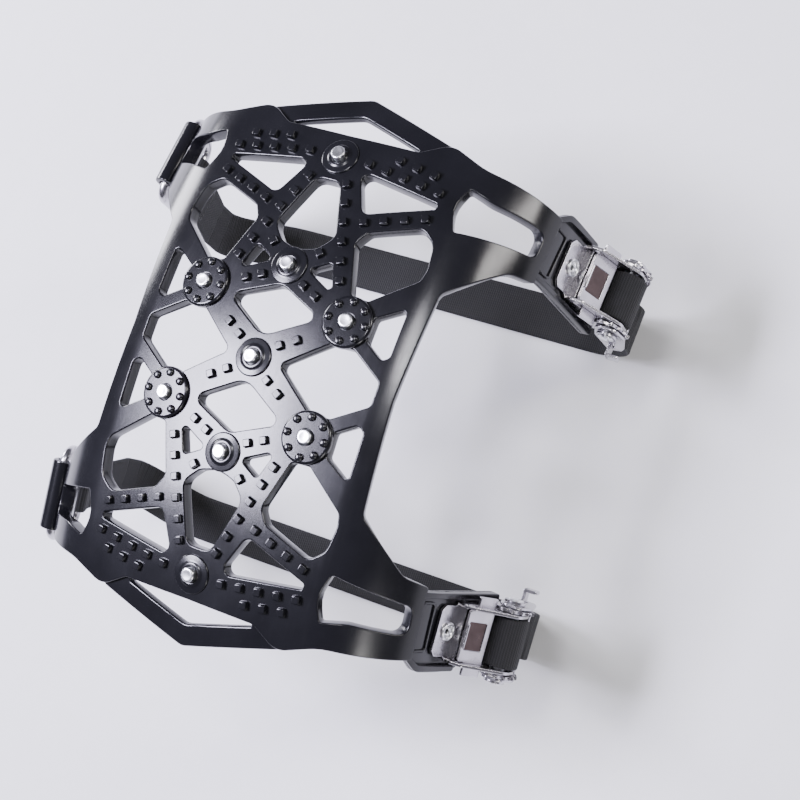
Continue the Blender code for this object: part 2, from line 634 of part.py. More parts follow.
def webbing_eye(number, at):
    """The webbing's sewn end: one turn round the ring's lower rod, then two plies stitched together."""
    drop = RING_DROP
    inner = RING_WIRE + GAP
    outer = inner + WEB_THICK
    neck = drop + 10 * MM
    outline = [Vector((neck, WEB_THICK)), Vector((EYE_END, WEB_THICK)), Vector((EYE_END, -WEB_THICK)),
               Vector((neck, -WEB_THICK))]
    hollow = [Vector((neck - 3.5 * MM, 0))]
    for i in range(13):
        angle = math.radians(-60 - 240 * i / 12)
        outline.append(Vector((drop + outer * math.cos(angle), outer * math.sin(angle))))
        hollow.append(Vector((drop + inner * math.cos(angle), inner * math.sin(angle))))
    eye = plate_across(outline, [hollow], -WEB_WIDTH / 2, WEB_WIDTH / 2)
    object_from(eye, f"webbing_eye_{number}", WEBBING, at)


def strap_route(around):
    """(place, across direction) along the strap from the wound roll, over the floor, to the sewn eye."""
    outer = buckle_matrix(around)
    inner = ring_matrix(around)
    off_roll = SPINDLE_Z - ROLL_RADIUS - GAP - WEB_THICK / 2
    top = outer @ Vector((SPINDLE_X, 0, off_roll))
    eye = inner @ Vector((EYE_END + GAP, 0, -WEB_THICK / 2))
    low = WEB_THICK / 2
    floor = around * STRAP_FLOOR_AROUND
    down = outer.to_3x3() @ Vector((1, 0, 0))
    foot = Vector((top.x + down.x * 30 * MM, top.y + down.y * 30 * MM, 0))
    inner_down = inner.to_3x3() @ Vector((1, 0, 0))
    inner_foot = Vector((eye.x + inner_down.x * 22 * MM, eye.y + inner_down.y * 20 * MM, 0))
    route = []
    for start, run, base, side in ((top, down, foot, 1), (eye, inner_down, inner_foot, -1)):
        centre = Vector((base.x - side * STRAP_BEND, floor, low + STRAP_BEND))
        leg = [start + run * (8 * MM * i) for i in range(3)]
        bend = []
        for i in range(10):
            angle = math.radians(90 * i / 9)
            reach = Vector((side * math.cos(angle), 0, -math.sin(angle))) * STRAP_BEND
            blend_in = math.cos(angle) ** 2
            place = centre + reach
            place.y = floor + (base.y - floor) * blend_in
            bend.append(place)
        tilt = (outer if side > 0 else inner).to_3x3() @ Vector((0, 1, 0))
        if tilt.y < 0:
            tilt = -tilt
        places = leg + bend
        turns = [1 - i / (len(places) - 1) for i in range(len(places))]
        route.append([(p, Vector((0, 1, 0)).lerp(tilt, t).normalized()) for p, t in zip(places, turns)])
    outer_part, inner_part = route
    first, last = outer_part[-1][0], inner_part[-1][0]
    middle = [(first.lerp(last, i / 6), Vector((0, 1, 0))) for i in range(1, 6)]
    return outer_part + middle + inner_part[::-1]


def strap(number, around):
    """One length of flat webbing, swept along its route."""
    route = strap_route(around)
    bm = bmesh.new()
    rings = []
    for i, (place, across) in enumerate(route):
        last = route[max(i - 1, 0)][0]
        following = route[min(i + 1, len(route) - 1)][0]
        along = (following - last).normalized()
        across = (across - along * across.dot(along)).normalized()
        off = along.cross(across) * (WEB_THICK / 2)
        side = across * (WEB_WIDTH / 2)
        rings.append([bm.verts.new(place + a * side + b * off) for a, b in ((1, 1), (1, -1), (-1, -1), (-1, 1))])
    for ring, following in zip(rings, rings[1:]):
        for i in range(4):
            bm.faces.new((ring[i], ring[(i + 1) % 4], following[(i + 1) % 4], following[i]))
    bm.faces.new(rings[0])
    bm.faces.new(rings[-1])
    bmesh.ops.triangulate(bm, faces=bm.faces)
    object_from(bm, f"strap_{number}", WEBBING)


def build():
    clear_scene()
    tread_panel()
    studs()
    for number, around in ((1, 1), (2, -1)):
        buckle_seat = seat(around, buckle_matrix)
        ratchet_frame(number, buckle_seat)
        lock_plate(number, buckle_seat)
        spindle(number, buckle_seat)
        handle(number, buckle_seat, around)
        rivet(number, buckle_seat)
        ring_seat = seat(around, ring_matrix)
        link_ring(number, ring_seat)
        webbing_eye(number, ring_seat)
        strap(number, around)


build()
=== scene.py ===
import math

import bpy
import numpy as np
from mathutils import Matrix, Vector


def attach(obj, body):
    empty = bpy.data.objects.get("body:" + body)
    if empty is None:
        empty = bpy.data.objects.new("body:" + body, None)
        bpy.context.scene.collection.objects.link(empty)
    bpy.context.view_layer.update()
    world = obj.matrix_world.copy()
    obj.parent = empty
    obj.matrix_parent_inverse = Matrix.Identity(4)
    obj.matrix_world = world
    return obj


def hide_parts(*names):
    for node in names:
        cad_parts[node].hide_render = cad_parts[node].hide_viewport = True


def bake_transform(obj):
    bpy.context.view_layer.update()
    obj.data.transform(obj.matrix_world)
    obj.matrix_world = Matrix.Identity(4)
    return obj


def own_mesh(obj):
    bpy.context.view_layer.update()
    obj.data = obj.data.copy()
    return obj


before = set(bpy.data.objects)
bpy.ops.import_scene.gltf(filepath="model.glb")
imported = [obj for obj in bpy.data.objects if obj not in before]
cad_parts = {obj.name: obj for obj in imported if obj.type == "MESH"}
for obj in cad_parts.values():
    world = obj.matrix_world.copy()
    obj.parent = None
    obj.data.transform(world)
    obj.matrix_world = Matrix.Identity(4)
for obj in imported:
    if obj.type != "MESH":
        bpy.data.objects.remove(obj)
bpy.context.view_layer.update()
print("frame loaded")

mm = 0.001
rimSteps = 3  # facets round a plate's rim
mergeReach = 1e-6  # points nearer than this are one point

# The tyre that the panel wraps: a wide shallow crown, a tight shoulder, a steep wall
tyre = {
    "treadRadius": 390 * mm,
    "crownRadius": 572 * mm,
    "crownHalf": 58.5 * mm,
    "shoulderRadius": 48 * mm,
    "wallAngle": math.radians(78),
    "topHeight": 150 * mm,
    "middle": -6.65 * mm,
}


# ---- hand tools

def pickNothing():
    if bpy.context.object and bpy.context.object.mode != "OBJECT":
        bpy.ops.object.mode_set(mode="OBJECT")
    bpy.ops.object.select_all(action="DESELECT")


def pick(*pieces):
    pickNothing()
    for piece in pieces:
        piece.select_set(True)
    bpy.context.view_layer.objects.active = pieces[0]


def openMesh(piece):
    # edit mode with everything picked
    pick(piece)
    bpy.ops.object.mode_set(mode="EDIT")
    bpy.ops.mesh.select_mode(type="FACE")
    bpy.ops.mesh.select_all(action="SELECT")


def closeMesh():
    bpy.ops.object.mode_set(mode="OBJECT")


def cleanMesh(piece):
    # doubles merged and faces turned outwards
    openMesh(piece)
    bpy.ops.mesh.remove_doubles(threshold=mergeReach)
    bpy.ops.mesh.normals_make_consistent(inside=False)
    closeMesh()
    return piece


def useModifier(piece, kind, **settings):
    pick(piece)
    modifier = piece.modifiers.new(kind.title(), kind)
    for name, value in settings.items():
        setattr(modifier, name, value)
    bpy.ops.object.modifier_apply(modifier=modifier.name)


def named(name):
    piece = bpy.context.object
    piece.name = piece.data.name = name
    return piece


def applyPlace(piece):
    pick(piece)
    bpy.ops.object.transform_apply(location=True, rotation=True, scale=True)


def putAt(piece, matrix):
    piece.matrix_world = matrix
    applyPlace(piece)
    return piece


def inScene(name, data):
    thing = bpy.data.objects.new(name, data)
    bpy.context.scene.collection.objects.link(thing)
    return thing


def duplicate(piece, name):
    return inScene(name, piece.data.copy())


def joined(name, pieces):
    pick(*pieces)
    if len(pieces) > 1:
        bpy.ops.object.join()
    return named(name)


def smoothShading(piece):
    pick(piece)
    bpy.ops.object.shade_smooth_by_angle(angle=math.radians(40))
    useModifier(piece, "WEIGHTED_NORMAL", keep_sharp=True)
    return piece


def roundedOutline(corners, arcStep=14):
    # (x, y, radius) corners in millimetres, each turned as an arc
    outline = []
    for i, (x, y, radius) in enumerate(corners):
        here = Vector((x, y))
        toLast = (Vector(corners[i - 1][:2]) - here).normalized()
        toNext = (Vector(corners[(i + 1) % len(corners)][:2]) - here).normalized()
        if radius == 0:
            outline.append(here * mm)
            continue
        half = toLast.angle(toNext) / 2
        centre = here + (toLast + toNext).normalized() * (radius / math.sin(half))
        start = here + toLast * (radius / math.tan(half)) - centre
        end = here + toNext * (radius / math.tan(half)) - centre
        sweep = start.angle_signed(end)
        steps = max(2, round(abs(math.degrees(sweep)) / arcStep))
        for step in range(steps + 1):
            outline.append((centre + Matrix.Rotation(-sweep * step / steps, 2) @ start) * mm)
    return outline


def ringOutline(x, y, radius, sides=40):
    # a round outline in millimetres
    turns = [2 * math.pi * i / sides for i in range(sides)]
    return [Vector((x + radius * math.cos(a), y + radius * math.sin(a))) * mm for a in turns]


def flipped(outline, across, around):
    return [Vector((p.x * across, p.y * around)) for p in outline]


def polyline(curve, places, closed):
    line = curve.splines.new("POLY")
    line.points.add(len(places) - 1)
    for point, place in zip(line.points, places):
        point.co = (*place, 1)
    line.use_cyclic_u = closed


def curveToMesh(name, curve, height=0):
    piece = inScene(name, curve)
    piece.location.z = height
    pick(piece)
    bpy.ops.object.convert(target="MESH")
    piece = named(name)
    applyPlace(piece)
    return piece


def filledSheet(outlines, height):
    # a flat filled drawing, made a mesh
    drawing = bpy.data.curves.new("sheet", "CURVE")
    drawing.dimensions, drawing.fill_mode = "2D", "BOTH"
    for outline in outlines:
        polyline(drawing, [(*place, 0) for place in outline], True)
    return curveToMesh("sheet", drawing, height)


def wound(outline):
    # the same outline, drawn anticlockwise
    outline = [Vector(place[:2]) for place in outline]
    turned = sum(here.cross(after) for here, after in zip(outline, outline[1:] + outline[:1]))
    return outline if turned > 0 else outline[::-1]


def insetOutline(outline, amount, hole):
    # the outline moved into the plate
    count = len(outline)
    way = -1 if hole else 1
    moved = []
    for i, here in enumerate(outline):
        before, after = (here - outline[i - 1]).normalized(), (outline[(i + 1) % count] - here).normalized()
        normal = Vector((-before.y - after.y, before.x + after.x))
        moved.append(here + normal * (way * amount / (1 + before.dot(after))))
    return moved


def drawnPlate(name, outlines, low, high, lip):
    # a flat drawing given thickness, with its rims rounded over
    outlines = [wound(outline) for outline in outlines]
    rings = []
    for i in range(rimSteps + 1):
        bend = math.pi / 2 * i / rimSteps
        rings.append((lip * (1 - math.cos(bend)), high - lip * (1 - math.sin(bend))))
    rings = [(inward, low + high - height) for inward, height in rings[::-1]] + rings
    points, faces = [], []
    for number, outline in enumerate(outlines):
        start, count = len(points), len(outline)
        for inward, height in rings:
            points += [(place.x, place.y, height) for place in insetOutline(outline, inward, number > 0)]
        for k in range(len(rings) - 1):
            for i in range(count):
                j = (i + 1) % count
                faces.append([start + k * count + i, start + k * count + j,
                              start + (k + 1) * count + j, start + (k + 1) * count + i])
    walls = bpy.data.meshes.new(name)
    walls.from_pydata(points, [], faces)
    piece = inScene(name, walls)
    rims = [insetOutline(outline, lip, number > 0) for number, outline in enumerate(outlines)]
    piece = joined(name, [piece, filledSheet(rims, low), filledSheet(rims, high)])
    return cleanMesh(piece)


def standingPlate(name, outlines, low, high, lip):
    # the same, drawn in XZ and spanning Y from low to high
    return putAt(drawnPlate(name, outlines, -high, -low, lip), Matrix.Rotation(math.pi / 2, 4, "X"))


def spannedPlate(name, outlines, span, side, lip):
    # a standing plate on one side of the middle, its span and lip in millimetres
    low, high = sorted(side * reach for reach in span)
    return standingPlate(name, outlines, low * mm, high * mm, lip * mm)


def lathed(name, profile, steps=48):
    # (radius, height) points in millimetres turned about Z
    mesh = bpy.data.meshes.new(name)
    points = [(radius * mm, 0, height * mm) for radius, height in profile]
    closed = profile[0][0] > 0 and profile[-1][0] > 0
    edges = [(i, i + 1) for i in range(len(points) - 1)] + ([(len(points) - 1, 0)] if closed else [])
    mesh.from_pydata(points, edges, [])
    piece = inScene(name, mesh)
    useModifier(piece, "SCREW", steps=steps, render_steps=steps, use_merge_vertices=True,
                merge_threshold=mergeReach)
    return cleanMesh(piece)


def wire(name, places, radius, closed=False, sides=4):
    # round wire along places
    line = bpy.data.curves.new(name, "CURVE")
    line.dimensions = "3D"
    line.bevel_depth, line.bevel_resolution, line.use_fill_caps = radius, sides, True
    polyline(line, places, closed)
    return cleanMesh(curveToMesh(name, line))


# ---- the tyre's form

def onTyre(points):
    # flat (across, around, height) points, as (place, lean across, turn around)
    across, around, height = np.asarray(points, float).reshape(-1, 3).T
    side = np.where(across < 0, -1.0, 1.0)
    along = np.abs(across)
    crownEnd = tyre["crownHalf"] / tyre["crownRadius"]
    crown = np.minimum(along, tyre["crownHalf"]) / tyre["crownRadius"]
    shoulder = np.clip((along - tyre["crownHalf"]) / tyre["shoulderRadius"], 0, tyre["wallAngle"] - crownEnd)
    lean = crown + shoulder
    wall = np.maximum(along - tyre["crownHalf"] - (tyre["wallAngle"] - crownEnd) * tyre["shoulderRadius"], 0)
    x = tyre["crownRadius"] * np.sin(crown) + tyre["shoulderRadius"] * (np.sin(lean) - np.sin(crown))
    z = tyre["crownRadius"] * (np.cos(crown) - 1) + tyre["shoulderRadius"] * (np.cos(lean) - np.cos(crown))
    x += wall * np.cos(lean) + height * np.sin(lean)
    z += height * np.cos(lean) - wall * np.sin(lean)
    turn = around / tyre["treadRadius"]
    radius = tyre["treadRadius"] + z
    place = np.stack([side * x + tyre["middle"], radius * np.sin(turn),
                      radius * np.cos(turn) - tyre["treadRadius"] + tyre["topHeight"]], 1)
    return place, side * lean, turn


def readAll(items, name, width, kind=np.float32):
    values = np.empty(len(items) * width, kind)
    items.foreach_get(name, values)
    return values


def wrapOnTyre(piece):
    # bends a flat piece over the tyre, and carries its shading round with it
    pick(piece)
    bpy.ops.object.shade_smooth_by_angle(angle=math.radians(35))
    mesh = piece.data
    normals = readAll(mesh.corner_normals, "vector", 3).reshape(-1, 3).astype(float)
    corners = readAll(mesh.loops, "vertex_index", 1, np.int32)
    level = np.zeros(len(mesh.vertices))  # 1 or -1 where a point lies on a level face
    for face in mesh.polygons:
        if abs(face.normal.z) > 0.9995:
            for i in face.vertices:
                level[i] = math.copysign(1, face.normal.z)
    level = level[corners]
    normals[level != 0] = 0
    normals[level != 0, 2] = level[level != 0]
    place, lean, turn = onTyre(readAll(mesh.vertices, "co", 3))
    lean, turn = lean[corners], turn[corners]
    x, y, z = normals.T
    x, z = x * np.cos(lean) + z * np.sin(lean), z * np.cos(lean) - x * np.sin(lean)
    y, z = y * np.cos(turn) + z * np.sin(turn), z * np.cos(turn) - y * np.sin(turn)
    mesh.vertices.foreach_set("co", place.astype(np.float32).ravel())
    mesh.update()
    mesh.normals_split_custom_set(np.stack([x, y, z], 1).tolist())
    return piece


slices = {
    "crownStep": 6, "shoulderStep": 3.6, "shoulderEnd": 122, "wallStart": 124, "wallStep": 12, "reach": 165,
    "aroundStep": 8, "length": 135,
}


def sliceForBending(piece):
    # cuts a flat piece along straight lines, close together where the tyre curves sharply
    low = [min(v.co[i] for v in piece.data.vertices) / mm for i in range(2)]
    high = [max(v.co[i] for v in piece.data.vertices) / mm for i in range(2)]
    half = tyre["crownHalf"] / mm
    across = list(np.arange(0, half, slices["crownStep"]))
    across += list(np.arange(half, slices["shoulderEnd"], slices["shoulderStep"]))
    across += list(np.arange(slices["wallStart"], slices["reach"], slices["wallStep"]))
    around = np.arange(0, slices["length"], slices["aroundStep"])
    openMesh(piece)
    for axis, places in ((0, across), (1, around)):
        facing = Vector((1 - axis, axis, 0))
        for place in [side * place for place in places for side in (1, -1)]:
            if low[axis] < place < high[axis]:
                bpy.ops.mesh.select_all(action="SELECT")
                bpy.ops.mesh.bisect(plane_co=facing * (place * mm), plane_no=facing, threshold=mergeReach)
    closeMesh()
    return piece


def wallFrame(across, around, height, side, tilt):
    # X down the tyre's wall, Z off it, Y across the arm
    wall = tyre["wallAngle"]
    down = Vector((side * math.cos(wall), 0, -math.sin(wall)))
    off = Vector((side * math.sin(wall), 0, math.cos(wall)))
    turn = Matrix.Rotation(-tilt, 3, "X")
    axes = [turn @ axis for axis in (down, off.cross(down), off)]
    place = Vector(onTyre([(across * mm, around * mm, height * mm)])[0][0])
    return Matrix.Translation(place) @ Matrix(axes).transposed().to_4x4()


# ---- finishes

class Number:
    # a number that changes over the surface
    def __init__(self, finish, socket):
        self.finish, self.socket = finish, socket

    def __add__(self, other):
        return self.finish.maths("ADD", self, other)

    def __rsub__(self, other):
        return self.finish.maths("SUBTRACT", other, self)

    def __mul__(self, other):
        return self.finish.maths("MULTIPLY", self, other)

    def __pow__(self, other):
        return self.finish.maths("POWER", self, other)

    __radd__, __rmul__ = __add__, __mul__


class Finish:
    def __init__(self, name, **constants):
        self.material = bpy.data.materials.new(name)
        self.material.use_nodes = True
        self.nodes = self.material.node_tree.nodes
        self.links = self.material.node_tree.links
        self.shader = self.nodes["Principled BSDF"]
        for socket, value in constants.items():
            self.shader.inputs[socket.replace("_", " ")].default_value = value

    def node(self, kind, settings=None, **values):
        # i0, i1 and so on name an input by its place
        made = self.nodes.new(kind)
        for name, value in (settings or {}).items():
            setattr(made, name, value)
        for name, value in values.items():
            socket = made.inputs[int(name[1:])] if name[1:].isdigit() else made.inputs[name.replace("_", " ")]
            self.feed(socket, value)
        return made

    def feed(self, socket, value):
        value = value.socket if isinstance(value, Number) else value
        if isinstance(value, bpy.types.NodeSocket):
            self.links.new(value, socket)
        else:
            socket.default_value = value

    def maths(self, operation, *numbers):
        inputs = {f"i{i}": number for i, number in enumerate(numbers)}
        return Number(self, self.node("ShaderNodeMath", {"operation": operation}, **inputs).outputs[0])

    def noise(self, scale, detail, stretch=None):
        place = self.node("ShaderNodeTexCoord").outputs["Object"]
        if stretch:
            place = self.node("ShaderNodeMapping", Vector=place, Scale=stretch).outputs[0]
        made = self.node("ShaderNodeTexNoise", Vector=place, Scale=scale, Detail=detail)
        return Number(self, made.outputs[0])

    def mixed(self, factor, first, second):
        made = self.node("ShaderNodeMix", {"data_type": "RGBA"}, Factor=factor, i6=first, i7=second)
        return made.outputs[2]

    def bump(self, height, distance, strength, onto=None):
        under = {} if onto is None else {"Normal": onto}
        return self.node("ShaderNodeBump", Height=height, Distance=distance, Strength=strength,
                         **under).outputs[0]

    def give(self, **inputs):
        for socket, value in inputs.items():
            self.feed(self.shader.inputs[socket.replace("_", " ")], value)
        return self


mouldedLook = {
    "deep": (0.0032, 0.0032, 0.0043, 1), "worn": (0.0085, 0.0085, 0.011, 1),
    "roughness": 0.12, "patches": 0.15, "scuffs": 0.18, "grain": 0.000012,
}


def mouldedTpu():
    # glossy black moulding: faint flow patches, fine scuffs and a slightly uneven skin
    look = mouldedLook
    finish = Finish("mouldedTpu", Specular_IOR_Level=0.44)
    patches = finish.noise(38.0, 4.0)
    scuffs = finish.noise(620.0, 2.0, stretch=(1, 0.12, 0.5)) ** 6
    skin = finish.noise(2600.0, 2.0)
    waves = finish.noise(120.0, 2.0)
    colour = finish.mixed(patches, look["deep"], look["worn"])
    relief = finish.bump(waves, 0.00005, 0.35)
    relief = finish.bump(skin, look["grain"], 0.5, relief)
    roughness = look["roughness"] + patches * look["patches"] + scuffs * look["scuffs"]
    return finish.give(Base_Color=colour, Roughness=roughness, Normal=relief).material


# haze clouds the colour and gloss, lines are the marks of rolling or turning
metals = {
    "chromePlate": {
        "bright": (0.58, 0.565, 0.60, 1), "dull": (0.43, 0.415, 0.44, 1), "roughness": 0.15, "cloud": 0.2,
        "haze": (160.0, 4.0), "hazeRelief": (0.00006, 0.5),
        "lines": (900.0, 2.0, (1, 1, 0.08)), "lineRelief": (0.000008, 0.6),
    },
    "studSteel": {
        "bright": (0.86, 0.86, 0.87, 1), "dull": (0.70, 0.71, 0.73, 1), "roughness": 0.2, "cloud": 0.18,
        "haze": (420.0, 4.0), "lines": (2400.0, 2.0), "lineRelief": (0.00001, 0.5),
    },
    "springWire": {
        "bright": (0.60, 0.60, 0.61, 1), "dull": (0.45, 0.44, 0.44, 1), "roughness": 0.26, "cloud": 0.12,
        "haze": (1500.0, 2.0),
    },
    "paintedReflectionMetal": {  # painted reflection and painted shade: dark brown standing for brown surroundings mirrored in the plate and the shade under it
        "bright": (0.098, 0.072, 0.068, 1), "dull": (0.055, 0.041, 0.040, 1), "roughness": 0.2, "cloud": 0.2,
        "haze": (240.0, 4.0), "hazeRelief": (0.00006, 0.4),
    },
}


def metal(name):
    look = metals[name]
    finish = Finish(name, Metallic=1.0)
    haze = finish.noise(*look["haze"])
    colour = finish.mixed(haze, look["bright"], look["dull"])
    finish.give(Base_Color=colour, Roughness=look["roughness"] + haze * look["cloud"])
    relief = None
    if "hazeRelief" in look:
        relief = finish.bump(haze, *look["hazeRelief"])
    if "lines" in look:
        relief = finish.bump(finish.noise(*look["lines"]), *look["lineRelief"], relief)
    if relief is not None:
        finish.give(Normal=relief)
    return finish.material


weave = {
    "rib": 1.1 * mm, "yarn": 0.92 * mm, "dark": (0.003, 0.003, 0.0033, 1), "light": (0.017, 0.017, 0.0185, 1),
    "height": 0.00016, "roughness": 0.94, "shine": 0.3,
}


def ribbedWebbing():
    # woven ribs across the width with crossing yarns, from the piece's own UV map in metres
    finish = Finish("ribbedWebbing", Specular_IOR_Level=0.3, Sheen_Weight=0.06, Sheen_Roughness=0.5)
    place = finish.node("ShaderNodeSeparateXYZ", Vector=finish.node("ShaderNodeUVMap").outputs[0])
    along, across = Number(finish, place.outputs[0]), Number(finish, place.outputs[1])
    ribs = finish.maths("SINE", along * (2 * math.pi / weave["rib"])) * 0.5 + 0.5
    yarns = across * (2 * math.pi / weave["yarn"]) + along * (math.pi / weave["rib"])
    yarns = finish.maths("SINE", yarns) * 0.5 + 0.5
    fuzz = finish.noise(2800.0, 3.0)
    cloth = ribs * 0.45 + yarns * 0.35 + fuzz * 0.3
    colour = finish.mixed(cloth, weave["dark"], weave["light"])
    relief = finish.bump(cloth, weave["height"], 0.8)
    return finish.give(Base_Color=colour, Roughness=weave["roughness"] - cloth * weave["shine"],
                       Normal=relief).material


threadLook = {
    "dark": (0.02, 0.02, 0.021, 1), "light": (0.055, 0.055, 0.058, 1), "roughness": 0.6, "twist": 0.2,
}


def sewingThread():
    # twisted thread, a little lighter than the webbing
    finish = Finish("sewingThread", Sheen_Weight=0.2)
    twist = finish.noise(5200.0, 2.0)
    colour = finish.mixed(twist, threadLook["dark"], threadLook["light"])
    return finish.give(Base_Color=colour, Roughness=threadLook["roughness"] + twist * threadLook["twist"],
                       Normal=finish.bump(twist, 0.00005, 0.6)).material


finishes = {
    "moulded_tpu": mouldedTpu(), "chrome_plate": metal("chromePlate"), "stud_steel": metal("studSteel"),
    "spring_steel": metal("springWire"), "black_webbing": ribbedWebbing(), "thread": sewingThread(),
    "tinted": metal("paintedReflectionMetal"),
}


def settle(piece, body, slot, nodes=(), finish=None):
    # gives a finished piece its material, its body and the CAD nodes that it stands for
    piece.data.materials.clear()
    piece.data.materials.append(finishes[finish or slot])
    if body:
        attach(piece, body)
    if nodes:
        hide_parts(*nodes)
    return piece


print("finishes mixed")


# ---- the moulded panel

panel = {
    "low": -6.5 * mm, "lip": 0.7 * mm, "armEnd": 108.5, "slotEnds": {1: 103, -1: 99.5},
    "endMiddle": 109.5, "edgeMiddle": 68.6,
    "hub": (37, 26), "bosses": (43, 98), "discHigh": 2.0, "pipRing": 8.9, "pips": 8,
    "pegBase": 2.9, "pegTop": 2.35, "pegHigh": 2.1, "pegSunk": 0.5, "pegEdge": 0.45,
}


def bodyOutline():
    # a quarter of the outline, mirrored both ways
    end, top, edge = panel["armEnd"], panel["endMiddle"], panel["edgeMiddle"]
    quarter = [(34, 110, 6), (47, 118, 10), (66, 110.8, 30), (end, 110.5, 1.5), (end, 75, 1.5),
               (95, 72, 12), (71, 50.5, 5), (edge, 0, 0)]
    corner = [p for p in roundedOutline([(0, top, 0), *quarter, (0, 0, 0)], 8)[:-1] if min(p) > mergeReach]
    right = [*corner, Vector((edge * mm, 0)), *flipped(corner[::-1], 1, -1)]
    return [Vector((0, top * mm)), *right, Vector((0, -top * mm)), *flipped(right[::-1], -1, 1)]


def openings():
    large = [(25.5, 60.5, 5), (29.5, 67, 4), (52, 75.5, 5), (59.5, 70, 8), (61.5, 58, 8), (60.5, 52.5, 4),
             (42, 37.5, 2), (33.5, 38, 2)]
    wedge = [(13.8, 91.5, 3.3), (18, 93.2, 2.8), (53, 88.4, 1.2), (53.5, 85.8, 1.2), (22.5, 74.2, 4)]
    small = [(9.2, 43.6, 1.6), (19.3, 49.3, 1.6), (24.6, 36, 1.6)]
    edge = [(60.6, 39.5, 2), (48.2, 31.5, 2), (48.2, 20.5, 2), (57.5, 14.6, 2.5), (60.6, 17, 2.5)]
    diamond = [(0, 34.2, 7), (23.5, 24, 3), (0, 10, 9), (-23.5, 24, 3)]
    crown = [(6, 86, 5), (15.5, 60.5, 6), (9, 53.6, 5), (0, 50.8, 14), (-9, 53.6, 5), (-15.5, 60.5, 6),
             (-6, 86, 5)]
    middle = [(13, 0, 2.5), (33, 15.2, 2), (44, 15.6, 2), (59.8, 5.4, 3), (59.8, -5.4, 3), (44, -15.6, 2),
              (33, -15.2, 2)]
    found = []
    for across in (1, -1):
        end = panel["slotEnds"][across]
        slot = [(64, 99.6, 1.5), (76, 97.2, 20), (end, 98.6, 5), (end, 85.2, 4), (65, 78.4, 1.5),
                (60.4, 89.5, 14)]
        for around in (1, -1):
            shapes = [roundedOutline(shape) for shape in (large, wedge, small, edge, slot)]
            found += [flipped(shape, across, around) for shape in shapes]
        found.append(flipped(roundedOutline(middle), across, 1))
    for around in (1, -1):
        found += [flipped(roundedOutline(shape), 1, around) for shape in (diamond, crown)]
    return found


def panelBody():
    body = drawnPlate("panelBody", [bodyOutline(), *openings()], panel["low"], 0, panel["lip"])
    return wrapOnTyre(sliceForBending(body))


def endBars():
    bar = roundedOutline([(0, 131.6, 6), (48, 117.6, 3), (48, 108, 2), (-48, 108, 2), (-48, 117.6, 3)])
    gap = roundedOutline([(0, 121.2, 6), (33, 111.6, 0.5), (31.5, 110, 0.5), (-31.5, 110, 0.5),
                          (-33, 111.6, 0.5)])
    made = []
    for side in (1, -1):
        outlines = [flipped(line, 1, side) for line in (bar, gap)]
        made.append(drawnPlate("endBar", outlines, -6.2 * mm, -2 * mm, 1 * mm))
    return [wrapOnTyre(sliceForBending(plate)) for plate in made]


def bucklePads():
    pad = [(104, 77.5, 1), (160, 77.5, 3), (163, 86, 5), (142, 119.5, 3), (136, 119.8, 2), (112, 116.8, 6),
           (104, 109, 1)]
    nearRail = [(104, 77.5, 1), (160, 77.5, 1.5), (160, 81.3, 1.5), (104, 80, 1)]
    farRail = [(104, 105, 1), (113, 113, 4), (138, 116.4, 1), (138, 119.6, 1.4), (112, 116.5, 6),
               (104, 108.7, 1)]
    ridge = [(109.5, 82.2, 0.3), (117.6, 82.2, 2.4), (117.6, 107.4, 2.4), (109.5, 107.4, 0.3),
             (109.5, 106, 0.3), (116.2, 106, 1.1), (116.2, 83.6, 1.1), (109.5, 83.6, 0.3)]
    # outline, low, high and lip
    shapes = [(pad, -5.5, -2.5, 0.6), (nearRail, -5.2, -0.3, 0.6), (farRail, -5.2, -0.3, 0.6),
              (ridge, -3.5, -1.6, 0.45)]
    made = []
    for side in (1, -1):
        for corners, low, high, lip in shapes:
            outline = flipped(roundedOutline(corners), 1, side)
            plate = drawnPlate("armPad", [outline], low * mm, high * mm, lip * mm)
            made.append(wrapOnTyre(sliceForBending(plate)))
    return made


def studHub():
    # flat disc with a rolled edge and a shallow ring sunk round the stud
    profile = [(0, -1), (11.7, -1), (11.7, 0.9), (11.6, 1.3), (11.3, 1.65), (10.8, 1.9), (10.3, 2.0),
               (6.1, 2.0), (5.8, 1.9), (4.2, 1.9), (3.8, 1.8), (3.55, 1.5), (3.55, 0.6), (0, 0.6)]
    return lathed("studHub", profile, 64)


def studBoss():
    # thin round step with a raised collar
    profile = [(0, -1), (8.7, -1), (8.7, 0.3), (8.6, 0.55), (8.35, 0.75), (8.0, 0.8), (6.3, 0.95),
               (5.6, 1.05), (5.3, 1.25), (5.0, 1.4), (4.2, 1.45), (3.8, 1.4), (3.55, 1.2), (3.55, 0.6),
               (0, 0.6)]
    return lathed("studBoss", profile, 56)


def hubPip():
    profile = [(0, -0.3), (1.85, -0.3), (1.85, 0.45), (1.75, 0.85), (1.45, 1.25), (1.0, 1.45), (0, 1.52)]
    return lathed("hubPip", profile, 16)


def gripPeg():
    # square peg with sloping sides and broken corners
    high, sunk = panel["pegHigh"], panel["pegSunk"]
    bpy.ops.mesh.primitive_cone_add(vertices=4, radius1=panel["pegBase"] * mm, radius2=panel["pegTop"] * mm,
                                    depth=(high + sunk) * mm, location=(0, 0, (high - sunk) / 2 * mm))
    peg = named("gripPeg")
    applyPlace(peg)
    useModifier(peg, "BEVEL", width=panel["pegEdge"] * mm, segments=2, limit_method="ANGLE",
                angle_limit=math.radians(40))
    return peg


